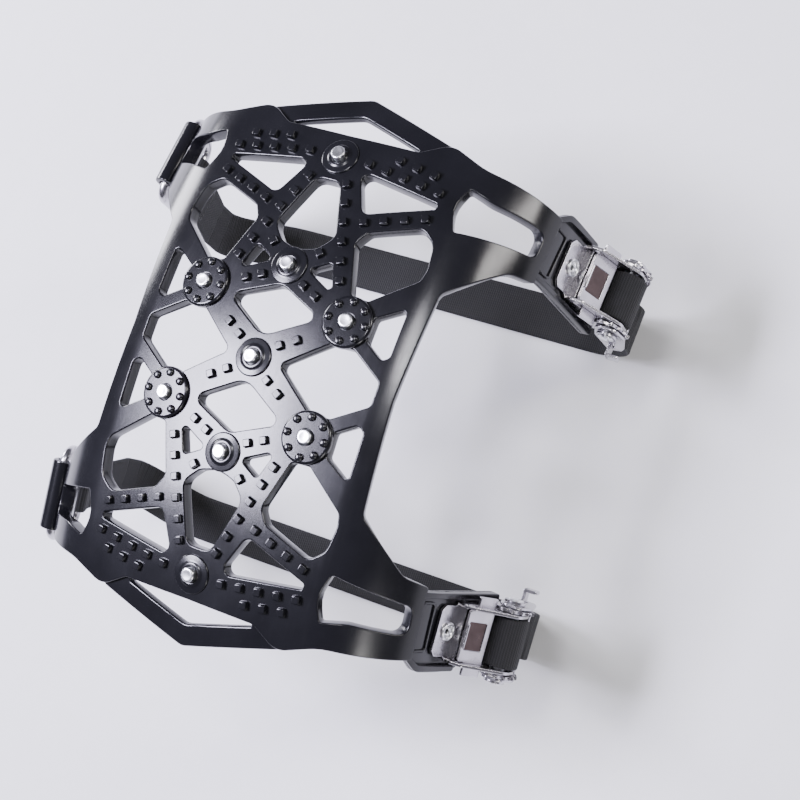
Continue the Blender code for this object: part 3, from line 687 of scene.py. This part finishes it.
def pegPlaces():
    # rows of pegs on one quarter, as start, end and count, then mirrored both ways
    rows = [((28.5, 103), (46.5, 100.5), 3), ((15.5, 97.7), (52, 93.2), 5), ((25.6, 70.5), (51.6, 79.7), 4),
            ((9.8, 85.5), (26.3, 42.3), 6), ((12, 51.8), (12, 51.8), 1), ((10.8, 36), (18, 32.8), 2),
            ((10.5, 8), (17.5, 12.3), 2)]
    for start, end, count in rows:
        for i in range(count):
            spot = Vector(start).lerp(Vector(end), i / max(count - 1, 1))
            lay = math.atan2(end[1] - start[1], end[0] - start[0]) + (math.pi / 4 if count > 1 else 0)
            for across in (1, -1):
                for around in (1, -1):
                    yield across * spot.x, around * spot.y, across * around * lay


def copiesAt(master, name, places):
    # places are (across, around, turn) in millimetres on the flat panel
    made = []
    for x, y, turn in places:
        twin = duplicate(master, name)
        putAt(twin, Matrix.Translation((x * mm, y * mm, 0)) @ Matrix.Rotation(turn, 4, "Z"))
        made.append(twin)
    bpy.data.objects.remove(master)
    return wrapOnTyre(joined(name, made))


def studPlaces():
    # the nine studs: middle, small bosses and hub discs
    hubX, hubY = panel["hub"]
    places = [(0, 0)]
    for side in (1, -1):
        places += [(0, side * place) for place in panel["bosses"]]
        places += [(hubX, side * hubY), (-hubX, side * hubY)]
    return places


def ringBarrel():
    # moulded barrel that carries the link ring
    profile = [(2.8, -15.9), (3.4, -16.5), (4.6, -16.5), (5.2, -16.2), (5.4, -15.6), (5.4, 15.6), (5.2, 16.2),
               (4.6, 16.5), (3.4, 16.5), (2.8, 15.9)]
    return putAt(lathed("ringBarrel", profile, 56), Matrix.Rotation(math.pi / 2, 4, "X"))


def buildPanel():
    def moulded(piece, nodes=()):
        settle(piece, "chain_panel", "moulded_tpu", nodes)

    moulded(panelBody(), ["tread_panel"])
    print("panel body wrapped")
    moulded(joined("endBars", endBars()))
    moulded(joined("bucklePads", bucklePads()))
    hubs = [(x, y, 0) for x, y in studPlaces() if x]
    bosses = [(x, y, 0) for x, y in studPlaces() if not x]
    moulded(copiesAt(studHub(), "hubDiscs", hubs))
    ring, turns = panel["pipRing"], [2 * math.pi * i / panel["pips"] for i in range(panel["pips"])]
    pips = [(x + ring * math.cos(a), y + ring * math.sin(a), 0) for x, y, _ in hubs for a in turns]
    pip = hubPip()
    pip.data.transform(Matrix.Translation((0, 0, panel["discHigh"] * mm)))
    moulded(copiesAt(pip, "hubPips", pips))
    moulded(copiesAt(studBoss(), "studBosses", bosses))
    moulded(copiesAt(gripPeg(), "gripPegs", list(pegPlaces())))
    barrels = [putAt(ringBarrel(), ringSeat(side)) for side in (1, -1)]
    moulded(smoothShading(joined("ringBarrels", barrels)))
    print("panel trimmed")


seats = {"ring": (-107, 92.5, 2.2), "buckle": (120.5, 96.2, 0), "buckleTilt": math.radians(9)}


def ringSeat(side):
    across, around, height = seats["ring"]
    return wallFrame(across, side * around, height, -1, side * around * mm / tyre["treadRadius"])


def buckleSeat(side):
    across, around, height = seats["buckle"]
    return wallFrame(across, side * around, height, 1, side * seats["buckleTilt"])


def buildStuds():
    # wide flange under the panel, straight shank and a worn crown
    profile = [(0, -6.2), (5.0, -6.2), (5.0, -4.9), (3.3, -4.9), (3.3, 3.3), (3.2, 3.7), (2.95, 3.98),
               (2.6, 4.1), (2.1, 4.1), (1.4, 4.02), (0, 3.98)]
    master = lathed("stud", profile, 40)
    for number, (x, y) in enumerate(studPlaces(), 1):
        stud = duplicate(master, f"stud{number}")
        place, lean, turn = onTyre([(x * mm, y * mm, 0)])
        stand = Matrix.Rotation(-turn[0], 4, "X") @ Matrix.Rotation(lean[0], 4, "Y")
        putAt(stud, Matrix.Translation(place[0]) @ stand)
        settle(smoothShading(stud), "chain_panel", "stud_steel", [f"stud_{number}"])
    bpy.data.objects.remove(master)
    print("studs set")


# ---- the ratchet buckles, built in their own frame: X along, Y across, Z off the wall

buckle = {
    "spindle": (35.5, 10.5), "lockSlope": math.radians(15.5), "fold": math.radians(18), "rivet": 7,
    "bore": 3.85, "teeth": 12, "tip": 9.5, "root": 7.6, "pawlStart": 9.9, "lockEnd": 23.5, "earEnd": 19.5,
    # from and to, across from the buckle's middle
    "sidePlate": (12, 13.5), "wheel": (13.9, 15.4), "arm": (15.8, 17), "clip": (17.4, 18.6),
    "upstand": (22, 23.5), "pinEnd": 19.2, "gripEnd": 17,
}


def spindleFrame():
    x, z = buckle["spindle"]
    return Matrix.Translation((x * mm, 0, z * mm))


def lockFrame():
    turn = Matrix.Rotation(math.pi - buckle["lockSlope"], 4, "Y") @ Matrix.Rotation(math.pi, 4, "X")
    return spindleFrame() @ turn


def handleFrame():
    return spindleFrame() @ Matrix.Rotation(buckle["fold"], 4, "Y")


def buckleFrame():
    # riveted base, two side plates with the locking plate's slot, and the moulding's wall between them
    base = [(0, -9, 0.8), (2.5, -11.5, 0.8), (9, -11.5, 1), (11, -13.5, 1), (16.5, -13.5, 0.5),
            (16.5, 13.5, 0.5), (11, 13.5, 1), (9, 11.5, 1), (2.5, 11.5, 0.8), (0, 9, 0.8)]
    outlines = [roundedOutline(base), ringOutline(buckle["rivet"], 0, 2.4)]
    plates = [drawnPlate("base", outlines, -2 * mm, -0.5 * mm, 0.3 * mm)]
    cheek = [(11, -2, 0.6), (38, -2, 3), (43, 5, 4), (43, 16, 6.5), (32, 18.5, 6), (12, 8, 2.5), (9.8, 3, 2)]
    slope, (x, z) = buckle["lockSlope"], buckle["spindle"]
    along, off = Vector((-math.cos(slope), -math.sin(slope))), Vector((-math.sin(slope), math.cos(slope)))
    slot = [Vector((x, z)) + along * a + off * b
            for a, b in ((9.4, -1.15), (24, -1.15), (24, 1.15), (9.4, 1.15))]
    slot = roundedOutline([(p.x, p.y, 0.4) for p in slot])
    outlines = [roundedOutline(cheek, 8), ringOutline(x, z, buckle["bore"]), slot]
    plates += [spannedPlate("cheek", outlines, buckle["sidePlate"], side, 0.35) for side in (1, -1)]
    wall = [(12.4, -11.7, 0.3), (13.6, -11.7, 0.3), (13.6, 11.7, 0.3), (12.4, 11.7, 0.3)]
    wall = drawnPlate("wall", [roundedOutline(wall)], -1.7 * mm, 2.9 * mm, 0.2 * mm)
    return joined("buckleFrame", plates + [wall])


def lockingPlate():
    # sprung plate with ears for the teeth, a shallow window, a turned-up lip and a tab for the spring
    start, ears, end = buckle["pawlStart"], buckle["earEnd"], buckle["lockEnd"]
    half = [(start, 17.8, 0.4), (ears, 17.8, 0.4), (ears, 11.6, 0.4), (end, 11.6, 1.5)]
    outline = roundedOutline([(x, -y, r) for x, y, r in half] + half[::-1])
    window = roundedOutline([(12.6, -6.4, 0.5), (22, -6.4, 0.5), (22, 6.4, 0.5), (12.6, 6.4, 0.5)])
    lower = drawnPlate("lower", [outline], -0.75 * mm, 0.15 * mm, 0.25 * mm)
    upper = drawnPlate("upper", [outline, window], -0.3 * mm, 0.75 * mm, 0.25 * mm)
    lip = roundedOutline([(end - 1.1, -0.5, 0.3), (end, -0.5, 0.3), (end + 0.1, 2, 0.45), (end - 1, 2, 0.45)])
    lip = standingPlate("lip", [lip], -5.6 * mm, 5.6 * mm, 0.3 * mm)
    tab = roundedOutline([(11, -4, 0.3), (12.2, -4, 0.3), (12.2, 4, 0.3), (11, 4, 0.3)])
    tab = drawnPlate("tab", [tab], -4.4 * mm, 0, 0.2 * mm)
    return putAt(joined("lockingPlate", [upper, lower, lip, tab]), lockFrame())


def windowPlate():
    # a dark sheet seen through the locking plate's window, its brown painted reflection and painted shade
    outline = [(12.75, -6.25, 0.4), (21.85, -6.25, 0.4), (21.85, 6.25, 0.4), (12.75, 6.25, 0.4)]
    plate = drawnPlate("windowPlate", [roundedOutline(outline)], 0.05 * mm, 0.4 * mm, 0.08 * mm)
    return putAt(plate, lockFrame())


coils = {
    "radius": 1.4, "wire": 0.3, "steps": 18,
    "lockSpring": {"start": 12.6, "end": 21.6, "height": -2.9, "turns": 5, "kept": 0.5},
    "pawlSpring": {"start": 13.5, "end": 17.2, "height": 0, "turns": 3, "kept": 0.18},
}


def coil(name):
    radius, thick, spring = coils["radius"], coils["wire"], coils[name]
    count = spring["turns"] * coils["steps"]
    places = []
    for i in range(count + 1):
        angle = 2 * math.pi * i / coils["steps"]
        along = spring["start"] + thick + (spring["end"] - spring["start"] - 2 * thick) * i / count
        lift = spring["height"] + radius * math.sin(angle)
        places.append(Vector((along, radius * math.cos(angle), lift)) * mm)
    return wire(name, places, thick * mm, sides=2)


def spindleShaft():
    # two half-round pins with the webbing's slot between them
    radius, gap, steps = 3.5, 18.5, 18
    arc = [math.radians(gap + (180 - 2 * gap) * i / steps) for i in range(steps + 1)]
    half = [Vector((radius * math.cos(a), radius * math.sin(a))) * mm for a in arc]
    end = buckle["pinEnd"] * mm
    pins = [standingPlate("pin", [flipped(half, 1, side)], -end, end, 0.35 * mm) for side in (1, -1)]
    return putAt(joined("spindleShaft", pins), spindleFrame())


def toothedWheel(side):
    # each tooth climbs slowly to its tip and drops back sharply
    root, tip = buckle["root"], buckle["tip"]
    climb = [(root, 0), (root + 0.55, 0.28), (root + 1.15, 0.55), (tip, 0.82), (tip, 0.95)]
    outline = []
    for i in range(buckle["teeth"]):
        for radius, share in climb:
            angle = (i + share) * 2 * math.pi / buckle["teeth"]
            outline.append(Vector((radius * math.cos(angle), radius * math.sin(angle))) * mm)
    wheel = spannedPlate("wheel", [outline, ringOutline(0, 0, 3.8)], buckle["wheel"], side, 0.16)
    return putAt(wheel, spindleFrame())


def endClip(side):
    # open spring clip
    turns = [math.radians(25 + 310 * i / 30) for i in range(31)]
    line = [(radius * math.cos(a), radius * math.sin(a))
            for radius, way in ((4.8, 1), (3.75, -1)) for a in turns[::way]]
    line = [Vector(place) * mm for place in line]
    return putAt(spannedPlate("clip", [line], buckle["clip"], side, 0.15), spindleFrame())


def pullHandle():
    # two arms joined by a grip bar, each slotted for the pawl
    arm = [(-7, 5, 4), (2, 8, 5), (15, 5.6, 3), (18.6, 3.9, 0.8), (21.4, -2.6, 0.8), (19.4, -3.6, 1.2),
           (5, -7, 4), (-7, -5, 4)]
    slot = roundedOutline([(9.4, -1.1, 0.3), (16.8, -1.1, 0.3), (16.8, 1.1, 0.3), (9.4, 1.1, 0.3)])
    grip = [(16.9, 3.2, 0.5), (18.2, 3.7, 0.5), (20.9, -2.4, 0.5), (19.6, -2.9, 0.5)]
    end = buckle["gripEnd"] * mm
    pieces = [standingPlate("grip", [roundedOutline(grip)], -end, end, 0.3 * mm)]
    outlines = [roundedOutline(arm, 8), ringOutline(0, 0, buckle["bore"]), slot]
    pieces += [spannedPlate("arm", outlines, buckle["arm"], side, 0.3) for side in (1, -1)]
    return putAt(joined("pullHandle", pieces), handleFrame())


def drivingPawl(side):
    # the finger tab is on the side towards the panel's middle
    tab = [(9.9, -18.4), (13.2, -18.4), (13.2, 17.6), (15.6, 17.6), (15.6, 23.5), (10.3, 23.5), (10.3, 18.4),
           (9.9, 18.4)]
    line = flipped(roundedOutline([(x, y, 0.4) for x, y in tab]), 1, -side)
    blade = drawnPlate("blade", [line], -0.75 * mm, 0.75 * mm, 0.2 * mm)
    rise = [(10.3, -0.7, 0.3), (15.6, -0.7, 0.3), (15.6, 5.6, 1.4), (10.3, 5.6, 1.4)]
    upstand = spannedPlate("upstand", [roundedOutline(rise)], buckle["upstand"], -side, 0.3)
    return putAt(joined("drivingPawl", [blade, upstand]), handleFrame())


def tubeRivet():
    profile = [(1.2, -7.7), (3.4, -7.7), (3.6, -7.5), (3.6, -6.9), (2.1, -6.9), (2.1, -0.45), (4.0, -0.45),
               (4.2, -0.3), (4.2, 0.1), (4.05, 0.5), (3.75, 0.75), (3.4, 0.8), (3.05, 0.65), (2.8, 0.3),
               (2.6, -0.15), (1.6, -0.3), (1.2, -0.6)]
    return putAt(lathed("tubeRivet", profile), Matrix.Translation((buckle["rivet"] * mm, 0, 0)))


def backWasher():
    profile = [(2.4, -6.6), (5.3, -6.6), (5.5, -6.4), (5.5, -6.0), (5.3, -5.8), (2.4, -5.8)]
    return putAt(lathed("backWasher", profile), Matrix.Translation((buckle["rivet"] * mm, 0, 0)))


# ---- webbing

webbing = {"width": 22.0, "thick": 1.5, "relief": 0.13, "stepsPerRib": 4}


def webbingAlong(name, route):
    # flat webbing swept along (place, across) stops, with raised ribs and rounded edges
    places, sides = (np.array(stops) for stops in zip(*route))
    run = np.concatenate([[0], np.cumsum(np.linalg.norm(np.diff(places, axis=0), axis=1))])
    count = int(run[-1] / weave["rib"] * webbing["stepsPerRib"])
    where = np.linspace(0, run[-1], count + 1)
    line = np.stack([np.interp(where, run, places[:, i]) for i in range(3)], 1)
    across = np.stack([np.interp(where, run, sides[:, i]) for i in range(3)], 1)
    along = np.gradient(line, axis=0)
    along /= np.linalg.norm(along, axis=1)[:, None]
    across -= along * np.sum(across * along, axis=1)[:, None]
    across /= np.linalg.norm(across, axis=1)[:, None]
    off = np.cross(along, across)
    half, thin = webbing["width"] / 2, webbing["thick"] / 2
    edge = [(half, 0), (half - 0.15, 0.6 * thin), (half - 0.55, thin), (half - 1.6, thin * 1.06),
            (half - 2.4, thin)]
    face = [(w, thin) for w in np.linspace(half - 4.5, -(half - 4.5), 5)]
    upper = edge + face + [(-w, t) for w, t in edge[::-1]]
    section = np.array(upper + [(w, -t) for w, t in upper[-2:0:-1]])
    swell = 1 + webbing["relief"] / thin * 0.5 * np.sin(2 * math.pi * where / weave["rib"])
    points = (line[:, None] + across[:, None] * section[None, :, :1] * mm
              + off[:, None] * section[None, :, 1:] * swell[:, None, None] * mm)
    around = len(section)
    faces, marks = [], []
    widths = list(section[:, 0] * mm) + [section[0, 0] * mm]
    for i in range(count):
        for k in range(around):
            j = (k + 1) % around
            faces.append((i * around + k, i * around + j, (i + 1) * around + j, (i + 1) * around + k))
            marks += [(where[i], widths[k]), (where[i], widths[k + 1]), (where[i + 1], widths[k + 1]),
                      (where[i + 1], widths[k])]
    last = count * around
    faces += [tuple(range(around))[::-1], tuple(last + k for k in range(around))]
    marks += [(where[0], w) for w in widths[:around][::-1]] + [(where[-1], w) for w in widths[:around]]
    mesh = bpy.data.meshes.new(name)
    mesh.from_pydata(points.reshape(-1, 3).tolist(), [], faces)
    mesh.uv_layers.new(name="UVMap").data.foreach_set("uv", np.array(marks, np.float32).ravel())
    piece = inScene(name, mesh)
    openMesh(piece)
    bpy.ops.mesh.normals_make_consistent(inside=False)
    closeMesh()
    bpy.ops.object.shade_smooth_by_angle(angle=math.radians(60))
    return piece


roll = {"turns": 3.1, "inner": 4.6, "outer": 8.2, "stepsPerTurn": 48}


def webbingRoll():
    # three and a bit turns wound on the spindle, ending underneath
    turns, start, end = roll["turns"], roll["inner"], roll["outer"]
    count = int(turns * roll["stepsPerTurn"])
    stops = []
    for i in range(count + 1):
        share = i / count
        angle = -share * turns * 2 * math.pi + math.radians(-90 + 360 * (turns % 1))
        radius = start + (end - start) * share
        place = Vector((radius * math.cos(angle), 0, radius * math.sin(angle))) * mm
        stops.append((place, Vector((0, 1, 0))))
    return putAt(webbingAlong("webbingRoll", stops), spindleFrame())


strapLay = {
    "thick": 1.6, "underRoll": 9.3, "lead": 8, "bend": 30, "bendSteps": 18, "floorAround": 74,
    "outerFoot": (30, 30), "innerFoot": (22, 20),
    "eyeEnd": 55.3, "eyeTurn": 3.55, "eyeSteps": 16, "foldEnd": 53.8,
    "blendEnd": 55, "blendStart": (11.5, 0, -32),
}


def strapLeg(start, run, tilt, foot, way, around):
    # down from start, then a quarter turn that lays the webbing level on the floor
    lay, level = strapLay, Vector((0, 1, 0))
    bend, steps = lay["bend"] * mm, lay["bendSteps"]
    footX, footY = (start[i] + run[i] * foot[i] * mm for i in range(2))
    centre = Vector((footX - way * bend, around, lay["thick"] / 2 * mm + bend))
    leg = [start + run * (lay["lead"] * mm * i) for i in range(3)]
    for i in range(steps + 1):
        angle = math.pi / 2 * i / steps
        place = centre + Vector((way * math.cos(angle), 0, -math.sin(angle))) * bend
        place.y = around + (footY - around) * math.cos(angle) ** 2
        leg.append(place)
    last = len(leg) - 1
    return [(place, level.lerp(tilt, 1 - i / last).normalized()) for i, place in enumerate(leg)]


def strapRoute(side):
    # from under the roll, down and over the floor, up to the ring, round its rod and back
    lay = strapLay
    outer, inner = buckleSeat(side), ringSeat(side)
    x, z = buckle["spindle"]
    top = outer @ Vector((x * mm, 0, (z - lay["underRoll"] - lay["thick"] / 2) * mm))
    eye = inner @ Vector((lay["eyeEnd"] * mm, 0, -lay["thick"] / 2 * mm))
    outerDown, innerDown = (seat.to_3x3() @ Vector((1, 0, 0)) for seat in (outer, inner))
    outerAcross, innerAcross = outer.to_3x3() @ Vector((0, 1, 0)), inner.to_3x3() @ Vector((0, -1, 0))
    around = side * lay["floorAround"] * mm
    first = strapLeg(top, outerDown, outerAcross, lay["outerFoot"], 1, around)
    second = strapLeg(eye, innerDown, innerAcross, lay["innerFoot"], -1, around)
    (here, level), there = first[-1], second[-1][0]
    floorRun = [(here.lerp(there, i / 6), level) for i in range(1, 6)]
    wrap, steps = lay["eyeTurn"], lay["eyeSteps"]
    turns = [math.radians(-60 - 240 * i / steps) for i in range(steps + 1)]
    loop = [(34, -0.8)] + [(link["drop"] + wrap * math.cos(a), wrap * math.sin(a)) for a in turns]
    loop += [(34, 0.85), (lay["foldEnd"], 0.85)]
    eyeLoop = [(inner @ Vector((a * mm, 0, b * mm)), innerAcross) for a, b in loop]
    return first + floorRun + second[::-1] + eyeLoop


def strapPiece(side, number):
    strap = webbingAlong(f"strap{number}", strapRoute(side))
    settle(strap, None, "black_webbing")
    eyeEnd = ringSeat(side) @ Vector((strapLay["blendEnd"] * mm, 0, 0))
    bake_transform(strap)
    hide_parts(f"strap_{number}", f"webbing_eye_{number}")


sewing = {"stitch": 0.5, "scale": (1.5, 0.5, 0.42), "pitch": 2.1, "face": 1.62, "box": (37.5, 51.5, 8.2)}


def stitching(side, number):
    # a sewn box with a cross, on both faces of the eye
    bpy.ops.mesh.primitive_uv_sphere_add(segments=8, ring_count=6, radius=sewing["stitch"] * mm)
    master = named("stitch")
    master.scale = sewing["scale"]
    applyPlace(master)
    near, far, half = sewing["box"]
    corners = [Vector(corner) for corner in ((near, -half), (far, -half), (far, half), (near, half))]
    runs = [(corners[i], corners[j]) for i, j in ((0, 1), (1, 2), (2, 3), (3, 0), (0, 2), (1, 3))]
    made = []
    for a, b in runs:
        count = round((b - a).length / sewing["pitch"])
        turn = Matrix.Rotation(math.atan2(b.y - a.y, b.x - a.x), 4, "Z")
        for i in range(count):
            spot = a.lerp(b, (i + 0.5) / count) * mm
            for face in (sewing["face"] * mm, -sewing["face"] * mm):
                made.append(putAt(duplicate(master, "stitch"), Matrix.Translation((*spot, face)) @ turn))
    bpy.data.objects.remove(master)
    stitches = putAt(joined(f"stitches{number}", made), ringSeat(side))
    bpy.ops.object.shade_smooth()
    settle(stitches, f"inner_ring_{number}", "black_webbing", finish="thread")


link = {"half": 22, "drop": 24, "corner": 6, "taper": 5, "wire": 2.5}


def linkRing(side, number):
    # closed wire ring, a little narrower at the webbing's end
    half, drop, corner = link["half"], link["drop"], link["corner"]
    low = half - link["taper"]
    corners = [(0, -half, corner), (0, half, corner), (drop, low, corner), (drop, -low, corner)]
    places = [Vector((p.x, p.y, 0)) for p in roundedOutline(corners, 7)]
    ring = wire(f"linkRing{number}", places, link["wire"] * mm, closed=True, sides=8)
    putAt(ring, ringSeat(side))
    bpy.ops.object.shade_smooth()
    settle(ring, f"inner_ring_{number}", "chrome_plate", [f"link_ring_{number}"])


def buildSpring(name, place, number, body, node):
    # a coil set in place on its body, with a mesh of its own
    spring = putAt(coil(name), place)
    spring.name = f"{name}{number}"
    bpy.ops.object.shade_smooth()
    settle(spring, body, "spring_steel", [f"{node}_{number}"])
    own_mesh(spring)


def buildBuckle(side, number):
    seat = buckleSeat(side)
    fixed, turning, chrome, steel = "chain_panel", f"winding_spindle_{number}", "chrome_plate", "stud_steel"
    parts = [
        # piece, body, material slot, node
        (buckleFrame(), fixed, chrome, "ratchet_frame"),
        (lockingPlate(), f"locking_plate_{number}", chrome, "lock_plate"),
        (spindleShaft(), turning, steel, "spindle"),
        (toothedWheel(1), turning, chrome, "ratchet_wheel_left"),
        (toothedWheel(-1), turning, chrome, "ratchet_wheel_right"),
        (endClip(1), turning, chrome, "spindle_clip_left"),
        (endClip(-1), turning, chrome, "spindle_clip_right"),
        (pullHandle(), f"pull_handle_{number}", chrome, "handle"),
        (drivingPawl(side), f"driving_pawl_{number}", chrome, "drive_pawl"),
        (tubeRivet(), fixed, chrome, "rivet"),
        (backWasher(), fixed, steel, "rivet_washer"),
    ]
    for piece, body, slot, node in parts:
        words = node.split("_")
        piece.name = words[0] + "".join(word.title() for word in words[1:]) + str(number)
        putAt(piece, seat)
        smoothShading(piece)
        settle(piece, body, slot, [f"{node}_{number}"], steel if node == "rivet" else slot)
    # the window sheet's dark brown is painted reflection and painted shade
    window = putAt(windowPlate(), seat)
    window.name = f"windowPlate{number}"
    settle(window, f"locking_plate_{number}", chrome, finish="tinted")
    buildSpring("lockSpring", seat @ lockFrame(), number, fixed, "lock_spring")
    buildSpring("pawlSpring", seat @ handleFrame(), number, f"pull_handle_{number}", "pawl_spring")
    wound = putAt(webbingRoll(), seat)
    wound.name = f"webbingRoll{number}"
    settle(wound, turning, "black_webbing", [f"wound_webbing_{number}"])
    print("buckle", number, "built")


buildPanel()
buildStuds()
for number, side in ((1, 1), (2, -1)):
    buildBuckle(side, number)
    linkRing(side, number)
    strapPiece(side, number)
    stitching(side, number)
    print("strap", number, "laid")


# ---- floor, light and camera

studio = {
    "floor": (0.80, 0.80, 0.81, 1), "floorShade": (0.77, 0.77, 0.78, 1), "floorSize": 30,
    "world": (0.74, 0.74, 0.84, 1), "worldStrength": 0.2, "middle": (0, 0, 0.13),
    "lights": [
        # direction from the middle, distance, width, height, watts, colour
        ((-0.54, -0.09, 0.84), 1.5, 0.62, 0.46, 76, (0.82, 0.80, 1.0)),
        ((-0.93, 0.30, 0.20), 1.3, 0.36, 0.42, 16, (0.92, 0.91, 1.0)),
        ((0.10, 0.22, 1.0), 2.2, 0.4, 0.4, 20, (0.95, 0.94, 1.0)),
        ((0.80, 0.50, 0.42), 1.7, 0.3, 0.9, 16, (1.0, 0.97, 0.95)),
        ((0.75, -0.62, 0.40), 2.0, 0.5, 0.9, 14, (1.0, 0.98, 0.97)),
    ],
    "lens": 88.57, "sensor": 36, "eye": (0.43199, -0.06442, 0.87619),
    "right": (0.85512, 0.32923, -0.40047), "up": (-0.26121, 0.94086, 0.21575),
    "back": (0.44782, -0.07988, 0.89055),
}


def buildStudio():
    bpy.ops.mesh.primitive_plane_add(size=studio["floorSize"], location=(0, 0, 0))
    floor = named("studioFloor")
    paper = Finish("floorPaper")
    tooth = paper.noise(90.0, 3.0)  # the paper's faint grain
    colour = paper.mixed(tooth, studio["floor"], studio["floorShade"])
    paper.give(Base_Color=colour, Roughness=0.78 + tooth * 0.1)
    floor.data.materials.append(paper.material)
    world = bpy.data.worlds.new("studioAir")
    bpy.context.scene.world = world
    world.use_nodes = True
    air = world.node_tree.nodes["Background"]
    air.inputs[0].default_value = studio["world"]
    air.inputs[1].default_value = studio["worldStrength"]
    target = Vector(studio["middle"])
    for i, (way, distance, width, height, watts, colour) in enumerate(studio["lights"], 1):
        lamp = bpy.data.lights.new(f"softbox{i}", "AREA")
        lamp.shape, lamp.size, lamp.size_y = "RECTANGLE", width, height
        lamp.energy, lamp.color = watts, colour
        holder = inScene(f"softbox{i}", lamp)
        back = Vector(way).normalized()
        holder.location = target + back * distance
        holder.rotation_euler = back.to_track_quat("Z", "Y").to_euler()
    camera = bpy.data.cameras.new("camera")
    camera.lens, camera.sensor_width = studio["lens"], studio["sensor"]
    holder = inScene("camera", camera)
    turn = Matrix([studio["right"], studio["up"], studio["back"]]).transposed().to_4x4()
    holder.matrix_world = Matrix.Translation(studio["eye"]) @ turn
    bpy.context.scene.camera = holder
    print("studio lit")


buildStudio()
